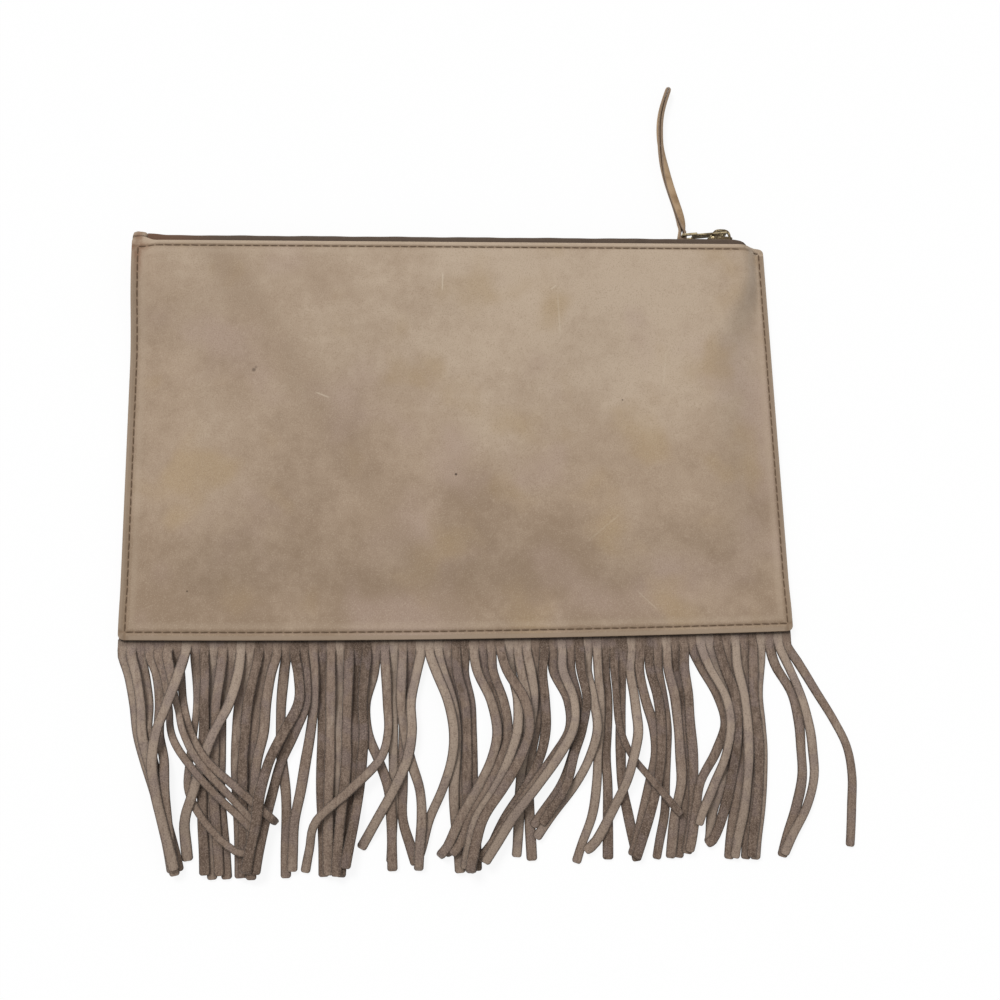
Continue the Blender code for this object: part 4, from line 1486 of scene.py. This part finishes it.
    def lay(self, plans: Sequence[Plan]) -> dict[int, list[float]]:
        """Heights for every strand: each one rests on those laid before it.

        Args:
            plans: The strands' plans.

        Returns:
            The heights at the laying steps, by strand number.
        """
        low = Vector((-self.lines.half_width - self.beside, self.lines.hem_y(0) - self.below))
        wide, high = 2 * (self.lines.half_width + self.beside), self.below + self.above
        tops = np.zeros((int(wide / self.cell), int(high / self.cell)))
        heights = {}
        for plan in sorted(plans, key=lambda plan: (plan.order, plan.number % 2, plan.number)):
            downs, across, widths = self.places(plan)
            left, right = self.edges(downs, across, widths)
            spans, cells = [], []
            for n in range(len(downs) - 1):
                count = max(int((downs[n + 1] - downs[n]) / self.cell), 1) + 1
                under = set()
                for k in range(count + 1):
                    a = left[n].lerp(left[n + 1], k / count)
                    b = right[n].lerp(right[n + 1], k / count)
                    out = (b - a).normalized() * self.margin
                    a, b = a - out, b + out
                    steps = int((b - a).length / self.cell * self.oversample) + 1
                    for m in range(steps + 1):
                        spot = (a.lerp(b, m / steps) - low) / self.cell
                        under.add((int(spot.x), int(spot.y)))
                cells.append(under)
                spans.append(max(tops[cell] for cell in under))
            rest = []
            for n, down in enumerate(downs):
                near = max(spans[max(n - 1, 0)], spans[min(n, len(spans) - 1)])
                lying = near + self.clearance if near > 0 else 0.0
                rest.append(max(lying, self.low * (1 - step((down - self.drop) / self.hang_run))))
            rest[0] = self.low
            heights[plan.number] = rest
            for n in range(1, len(cells)):
                covered = max(rest[n], rest[n + 1]) + self.suede
                for cell in cells[n]:
                    tops[cell] = max(tops[cell], covered)
        return heights

    def strand(self, draft: MeshDraft, plan: Plan, rest: Sequence[float]) -> float:
        """Add one soft strand.

        Args:
            draft: The fringe in the making.
            plan: The strand's plan.
            rest: Its heights at the laying steps.

        Returns:
            Its flat area.
        """
        chance = random.Random(self.seed + plan.number)
        tone, phase = chance.random(), chance.uniform(0, 6.3)
        turns = chance.uniform(*self.roll_turns)
        known, values = self.course(plan)
        laid = self.places(plan)[0]
        body = [
            blend(self.shown_drop, plan.length - self.shown_round, k / self.shown_steps)
            for k in range(self.shown_steps + 1)
        ]
        downs = body + [plan.length - self.tip_round * back for back, _ in self.tip_shape]
        tips = [1.0] * len(body) + [share for _, share in self.tip_shape]
        across, widths, heights = [], [], []
        for down, tip in zip(downs, tips):
            held = max(down, self.drop)
            across.append(smooth_through(known, values, held))
            share = blend(self.width, plan.width, step(held / self.sway[1]))
            ripple = 1 + self.ripple * math.sin(turns * self.ripple_turns * down + phase)
            thin = plan.width <= self.thin_below * self.width
            full = self.thin_fullness if thin else self.fullness
            full = blend(self.fullness, full, step(down / self.sway[0]))
            widths.append(share * full * ripple * tip)
            heights.append(float(np.interp(held, laid, rest)))
        left, right = self.edges(downs, across, widths)
        rings = []
        for n, down in enumerate(downs):
            tilt = self.roll * math.sin(turns * down + phase) * step(down / self.roll_run)
            ring = []
            for a, up in self.section:
                spot = left[n].lerp(right[n], (a + 1) / 2)
                z = heights[n] + up * self.suede * self.shown_thick + max(tilt * a, 0)
                ring.append(
                    draft.add(
                        Vector((spot.x, spot.y, z)),
                        strand=tone, down=down / self.length, across=a,
                    )
                )
            rings.append(ring)
        draft.skin(rings)
        return sum((downs[n + 1] - downs[n]) * widths[n] for n in range(len(downs) - 1))

    def build(self) -> None:
        """Make the fringe as one piece."""
        draft = MeshDraft()
        plans = self.plans()
        heights = self.lay(plans)
        area = sum(self.strand(draft, plan, heights[plan.number]) for plan in plans)
        half = self.count / 2 * self.pitch - self.slit / 2
        rings = []
        plain = {"strand": self.header_tone, "down": 0.0, "across": 0.0}
        thin, thick = (self.low + self.suede * share for share in self.header_thick)
        for n in range(self.count + 1):
            x = blend(-half, half, n / self.count) + self.root_shift
            top, foot = self.lines.hem_y(x) + self.tuck, self.lines.hem_y(x) - self.header_foot
            corners = ((top, self.low), (foot, self.low), (foot, thin), (top, thick))
            rings.append([draft.add(Vector((x, y, z)), **plain) for y, z in corners])
        draft.skin(rings)
        area += 2 * half * self.tuck
        finish = Suede("fringe_suede", roughness=0.95, sheen=0.25, specular=0.15).dress()
        fringe = draft.finish("suede_fringe", [finish])
        settle(fringe, Body.BAG, "fringe_suede", "fringe")
        longest = max(lock.length for lock in self.locks) / 100
        flat = (2 * half, self.tuck + self.length * longest + self.uneven)
        area = min(area, flat[0] * flat[1])


@dataclass
class Zip:
    """The coil zip: two tapes, two wound coils, the stops, the slider and its tab."""

    zip_y: float = 96.6 * MM
    zip_z: float = 6.8 * MM
    tape: float = 0.6 * MM
    tape_bend: float = 0.6 * MM
    tape_edge_y: float = 82.1 * MM
    mouth_inner: float = 11 * MM
    gap: float = 0.3 * MM
    coil_width: float = 2.15 * MM
    coil_thick: float = 1.8 * MM
    coil_split: float = 0.15 * MM
    parting: float = 0.6 * MM
    parting_start: float = 2 * MM
    divider: float = 3 * MM
    slider_x: float = 129.85 * MM
    coil_end: float = 136.1 * MM
    filament: float = 0.27 * MM
    turn_pitch: float = 1.3 * MM
    head: float = 0.22 * MM
    tape_cell: float = 1.5 * MM
    tape_stand: float = 0.4 * MM
    tape_shown: float = 0.95
    tape_round: float = 0.1 * MM
    tape_sways: tuple[tuple[float, float, float], ...] = ((0.08, 170, 0), (0.05, 431, 1))
    pinched_length: float = 290.4 * MM
    pinch_in: float = 1 * MM
    pinch_from: float = 135 * MM
    pinch_run: float = 13 * MM
    pinch_sharp: float = 3.0
    pinch_left: float = 1.2 * MM
    pinch_right: float = -2.6 * MM
    coil_steps: int = 12
    filament_sides: int = 6
    metal_round: float = 0.12 * MM
    panels: LeatherPanels = field(default_factory=LeatherPanels)

    def pinched(self, point: Vector) -> Vector:
        """Draw a point of the tape in between the two leathers at the bag's corners.

        Args:
            point: The point.

        Returns:
            Where it ends up.
        """
        edge = min(point.y, self.panels.lines.top_y) - self.pinch_in
        low = self.panels.leather + self.panels.curl(point.x, edge)
        high = self.panels.front_low(point.x, edge)
        share = (point.z - self.panels.leather) / self.mouth_inner
        beyond = step((abs(point.x) - self.pinch_from) / self.pinch_run)
        rise = self.pinch_left if point.x < 0 else self.pinch_right
        z = blend(point.z, low + share * (high - low), min(beyond * self.pinch_sharp, 1))
        return Vector((point.x, point.y + rise * beyond * (point.y > edge), z))

    def parted_at(self, x: float) -> float:
        """How far each half is pushed aside by the slider's divider."""
        run = self.parting_start + self.divider / 2
        return self.parting * step((x - self.slider_x + self.parting_start) / run)

    def make_tape(self, side: Side) -> None:
        """Half of the woven tape.

        Args:
            side: Which half.
        """
        inner = self.coil_split + self.coil_width + self.gap
        leg = self.mouth_inner / 2 - self.gap - self.tape / 2
        bend = self.tape_bend
        section = [(0.0, blend(inner, leg - bend, k / 3), 1 - k / 3) for k in range(4)]
        for k in range(1, 5):
            a = k / 4 * math.pi / 2
            section.append((-bend * (1 - math.cos(a)), leg - bend + bend * math.sin(a), 0.0))
        reach = self.tape_edge_y - self.zip_y
        section += [(blend(-bend, reach, k / 5), leg, 0.0) for k in range(1, 6)]
        count = round(self.pinched_length / self.tape_cell)
        rows = []
        for n in range(count + 1):
            x = blend(-self.pinched_length / 2, self.pinched_length / 2, n / count)
            sway = sum(far * MM * math.sin(x * turns + at) for far, turns, at in self.tape_sways)
            rows.append(
                [
                    self.pinched(Vector((
                        x,
                        self.zip_y + y + (sway + self.tape_stand if y > -2 * bend else 0),
                        self.zip_z + side.value * (z + self.parted_at(x) * share),
                    )))
                    for y, z, share in section
                ]
            )
        draft = MeshDraft()
        draft.grid(rows if side is Side.FRONT else rows[::-1])
        end = side.name.lower()
        tape = draft.finish(f"tape_{end}", [WovenTape("woven_tape", roughness=0.9).dress()])
        thicken(tape, self.tape * self.tape_shown, 0, self.tape_round)
        settle(tape, Body.BAG, "zip_tape", f"zip_tape_{end}")

    def make_coil(self, side: Side) -> None:
        """Half of the coil, wound from one nylon filament.

        Args:
            side: Which half.
        """
        start, end = -self.coil_end + self.filament, self.coil_end - self.filament
        turns = (end - start) / self.turn_pitch
        wide = self.coil_width / 2 - self.filament + self.head / 2
        tall = self.coil_thick / 2 - self.filament
        shift = 0.0 if side is Side.FRONT else math.pi
        path = []
        for n in range(int(turns * self.coil_steps) + 1):
            angle = 2 * math.pi * n / self.coil_steps
            x = start + self.turn_pitch * n / self.coil_steps
            out = self.coil_split + self.coil_width / 2 - self.head / 2 + self.parted_at(x)
            z = self.zip_z + side.value * (out + wide * math.cos(angle + shift))
            path.append(Vector((x, self.zip_y + tall * math.sin(angle + shift), z)))
        draft = MeshDraft()
        draft.tube(path, self.filament, self.filament_sides)
        half = side.name.lower()
        finish = Nylon("dyed_nylon", roughness=0.5).dress()
        coil = draft.finish(f"coil_{half}", [finish])
        settle(coil, Body.BAG, "zip_nylon", f"zip_coil_{half}")

    def dress_metal(self) -> None:
        """Soften and finish the metal pieces, which keep their own shapes."""
        brass = AntiqueBrass("antique_brass", metallic=0.85, roughness=0.42).dress()
        rubbed = AntiqueBrass("rubbed_brass", metallic=0.7, roughness=0.4, worn_from=0.36).dress()
        for name in ("slider", "pull_tab", "top_stop_front", "top_stop_back", "bottom_stop"):
            node = bpy.data.objects[name]
            node.data.materials.clear()
            node.data.materials.append(rubbed if name == "pull_tab" else brass)
            soften(node, self.metal_round, 40)
            LOG.info("%s keeps its shape and gets antique brass", name)

    def build(self) -> None:
        """Make the zip."""
        for side in Side:
            self.make_tape(side)
            self.make_coil(side)
        self.dress_metal()


@dataclass
class PullStrap:
    """One leather strip folded double through the tab's end bar."""

    bar: Place = (111.45 * MM, 100.22 * MM, 6.8 * MM)
    length: float = 83.3 * MM
    steps: float = 82.5
    width: float = 3.6 * MM
    thick: float = 1.42 * MM
    tip: float = 3 * MM
    fold_gap: float = 0.08 * MM
    bar_size: float = 1.2 * MM
    clearance: float = 0.2 * MM
    spread_run: float = 5 * MM
    loop_steps: int = 14
    fine_steps: int = 110
    smooth_passes: int = 60
    tip_least: float = 0.25
    section: tuple[tuple[float, float, float], ...] = (
        (-1.0, -0.6, 1), (-0.86, -1.0, 0), (0.0, -1.0, 0), (0.86, -1.0, 0), (1.0, -0.6, 1),
        (1.0, 0.6, 1), (0.86, 1.0, 0), (0.0, 1.04, 0), (-0.86, 1.0, 0), (-1.0, 0.6, 1),
    )
    route: tuple[tuple[float, float, float, float], ...] = (
        (0.2, 2.5, 0.1, 4), (0.6, 6, 0.3, 48), (0.1, 10, 0.6, 80), (-1.2, 16, 1.0, 88),
        (-3.2, 24, 1.7, 88), (-5.0, 33, 2.6, 72), (-6.3, 42, 3.4, 38), (-7.0, 51, 3.9, 12),
        (-7.0, 60, 4.2, 2), (-5.9, 69, 4.4, 0), (-3.4, 77, 4.5, 0), (-0.8, 84, 4.5, 0),
    )

    def stations(self) -> list[tuple[Vector, float, float]]:
        """Middle points of the doubled strap, with the turn and distance at each.

        Returns:
            The stations.
        """
        bar = Vector(self.bar)
        scale = self.length / self.steps
        alongs = [row[1] for row in self.route]
        found = []
        for n in range(self.fine_steps + 1):
            along = blend(alongs[0], alongs[-1], n / self.fine_steps)
            x, sunk, turn = (
                smooth_through(alongs, [row[k] for row in self.route], along) for k in (0, 2, 3)
            )
            middle = bar + Vector((x, along, -sunk)) * scale
            found.append((middle, math.radians(turn), along * scale))
        for _ in range(self.smooth_passes):
            for n in range(1, len(found) - 1):
                before, here, after = found[n - 1], found[n], found[n + 1]
                found[n] = tuple(
                    (before[k] + 2 * here[k] + after[k]) / 4 for k in range(len(here))
                )
        return found

    def build(self) -> None:
        """Make the strap."""
        loop = self.bar_size / 2 + self.clearance + self.thick / 2
        bar = Vector(self.bar)
        legs: dict[int, list[tuple[Vector, Vector, Vector, float]]] = {1: [], -1: []}
        stations = self.stations()
        path = [bar, *(middle for middle, _, _ in stations)]
        for n, (middle, turn, along) in enumerate(stations, 1):
            run = heading(path, n)
            flat = run.cross(Vector((0, 0, 1))).normalized()
            up = flat.cross(run)
            across = flat * math.cos(turn) + up * math.sin(turn)
            width = up * math.cos(turn) - flat * math.sin(turn)
            short = max(1 - (stations[-1][2] - along) / self.tip, 0)
            full = max(math.sqrt(max(1 - short * short, 0)), self.tip_least)
            apart = (self.thick * full + self.fold_gap) / 2
            spread = blend(loop, apart, step(along / self.spread_run))
            for side in legs:
                legs[side].append((middle + across * spread * side, width, across * side, full))
        strip = list(reversed(legs[-1]))
        for n in range(1, self.loop_steps):
            angle = math.pi + math.pi * n / self.loop_steps
            out = Vector((math.cos(angle), math.sin(angle), 0))
            strip.append((bar + out * loop, Vector((0, 0, 1)), out, 1.0))
        strip += legs[1]
        draft = MeshDraft()
        rings = []
        for point, width, out, full in strip:
            ring = []
            for w, t, rim in self.section:
                spot = point + (width * w * self.width + out * t * self.thick) * full / 2
                # inside: how far a point lies on the fold's inner faces, which the shader paints in
                # shadow
                inside = 1.0 if t < -0.9 else 0.55 * (t < 0)
                ring.append(draft.add(spot, rim=float(rim), inside=inside))
            rings.append(ring)
        draft.skin(rings)
        finish = StrapLeather("strap_leather", roughness=0.75, specular=0.3).dress()
        strap = draft.finish("leather_strap", [finish])
        settle(strap, Body.STRAP, "strap_leather", "pull_strap")


@dataclass
class Studio:
    """The pale floor, the soft light and the camera at the photograph's angle."""

    eye: Place = (-0.0295, -0.1915, 0.6255)
    right: Place = (0.9971, -0.0250, 0.0713)
    up: Place = (0.0064, 0.9682, 0.2500)
    ahead: Place = (0.0753, 0.2489, -0.9656)
    lens: float = 50.0
    sensor: float = 36.0
    floor_z: float = -0.3 * MM
    floor_size: float = 6.0
    ambient: float = 0.55
    key: float = 1.72
    key_turn: Place = (math.radians(-30), math.radians(-26), 0.0)
    key_spread: float = math.radians(24)
    nearest: float = 0.01
    floor_glow: float = 0.88

    def make_camera(self) -> None:
        """Place the camera."""
        data = bpy.data.cameras.new("camera")
        data.lens = self.lens
        data.sensor_width = self.sensor
        data.clip_start = self.nearest
        camera = link("camera", data)
        turn = Matrix((self.right, self.up, [-c for c in self.ahead])).transposed().to_quaternion()
        camera.matrix_world = Matrix.Translation(self.eye) @ turn.to_matrix().to_4x4()
        bpy.context.scene.camera = camera

    def make_light(self) -> None:
        """Light the bag from all round and a little more from the upper left."""
        data = bpy.data.lights.new("key", "SUN")
        data.energy = self.key
        data.angle = self.key_spread
        link("key", data).rotation_euler = self.key_turn
        world = bpy.data.worlds.new("studio")
        bpy.context.scene.world = world
        world.use_nodes = True
        graph = Graph(world.node_tree)
        seen, glossy, through = (
            graph.value("ShaderNodeLightPath", out=ray)
            for ray in ("Is Camera Ray", "Is Glossy Ray", "Is Transmission Ray")
        )
        strength = self.ambient + seen.most(glossy).most(through) * (1 - self.ambient)
        inputs = {"Color": (1, 1, 1, 1), "Strength": strength}
        back = graph.value("ShaderNodeBackground", {}, inputs)
        graph.make("ShaderNodeOutputWorld", {}, {0: back})

    def make_floor(self) -> None:
        """Lay the white floor, which keeps a faint shadow."""
        draft = MeshDraft()
        half = self.floor_size / 2
        corners = [Vector((x * half, y * half, self.floor_z)) for x, y in ((-1, 1), (1, 1))]
        nearer = [Vector((x * half, -half, self.floor_z)) for x in (-1, 1)]
        draft.grid([corners, nearer])
        made = bpy.data.materials.new("white_floor")
        made.use_nodes = True
        graph = Graph(made.node_tree)
        white = (1, 1, 1, 1)
        matt = graph.value("ShaderNodeBsdfDiffuse", {}, {"Color": white})
        glow = graph.value("ShaderNodeEmission", {}, {"Color": white, "Strength": 1.0})
        share = graph.value("ShaderNodeLightPath", out="Is Camera Ray") * self.floor_glow
        mixed = graph.value("ShaderNodeMixShader", {}, {0: share, 1: matt, 2: glow})
        graph.make("ShaderNodeOutputMaterial", {}, {0: mixed})
        draft.finish("floor", [made])

    def build(self) -> None:
        """Set the stage."""
        bpy.context.scene.view_settings.view_transform = "Standard"
        self.make_camera()
        self.make_light()
        self.make_floor()


def main() -> None:
    """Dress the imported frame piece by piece."""
    logging.basicConfig(level=logging.INFO, format="%(message)s")
    for part in (Studio(), LeatherPanels(), Fringe(), Zip(), PullStrap()):
        LOG.info("building %s", type(part).__name__)
        part.build()
    bpy.context.view_layer.update()


if __name__ == "__main__":
    main()
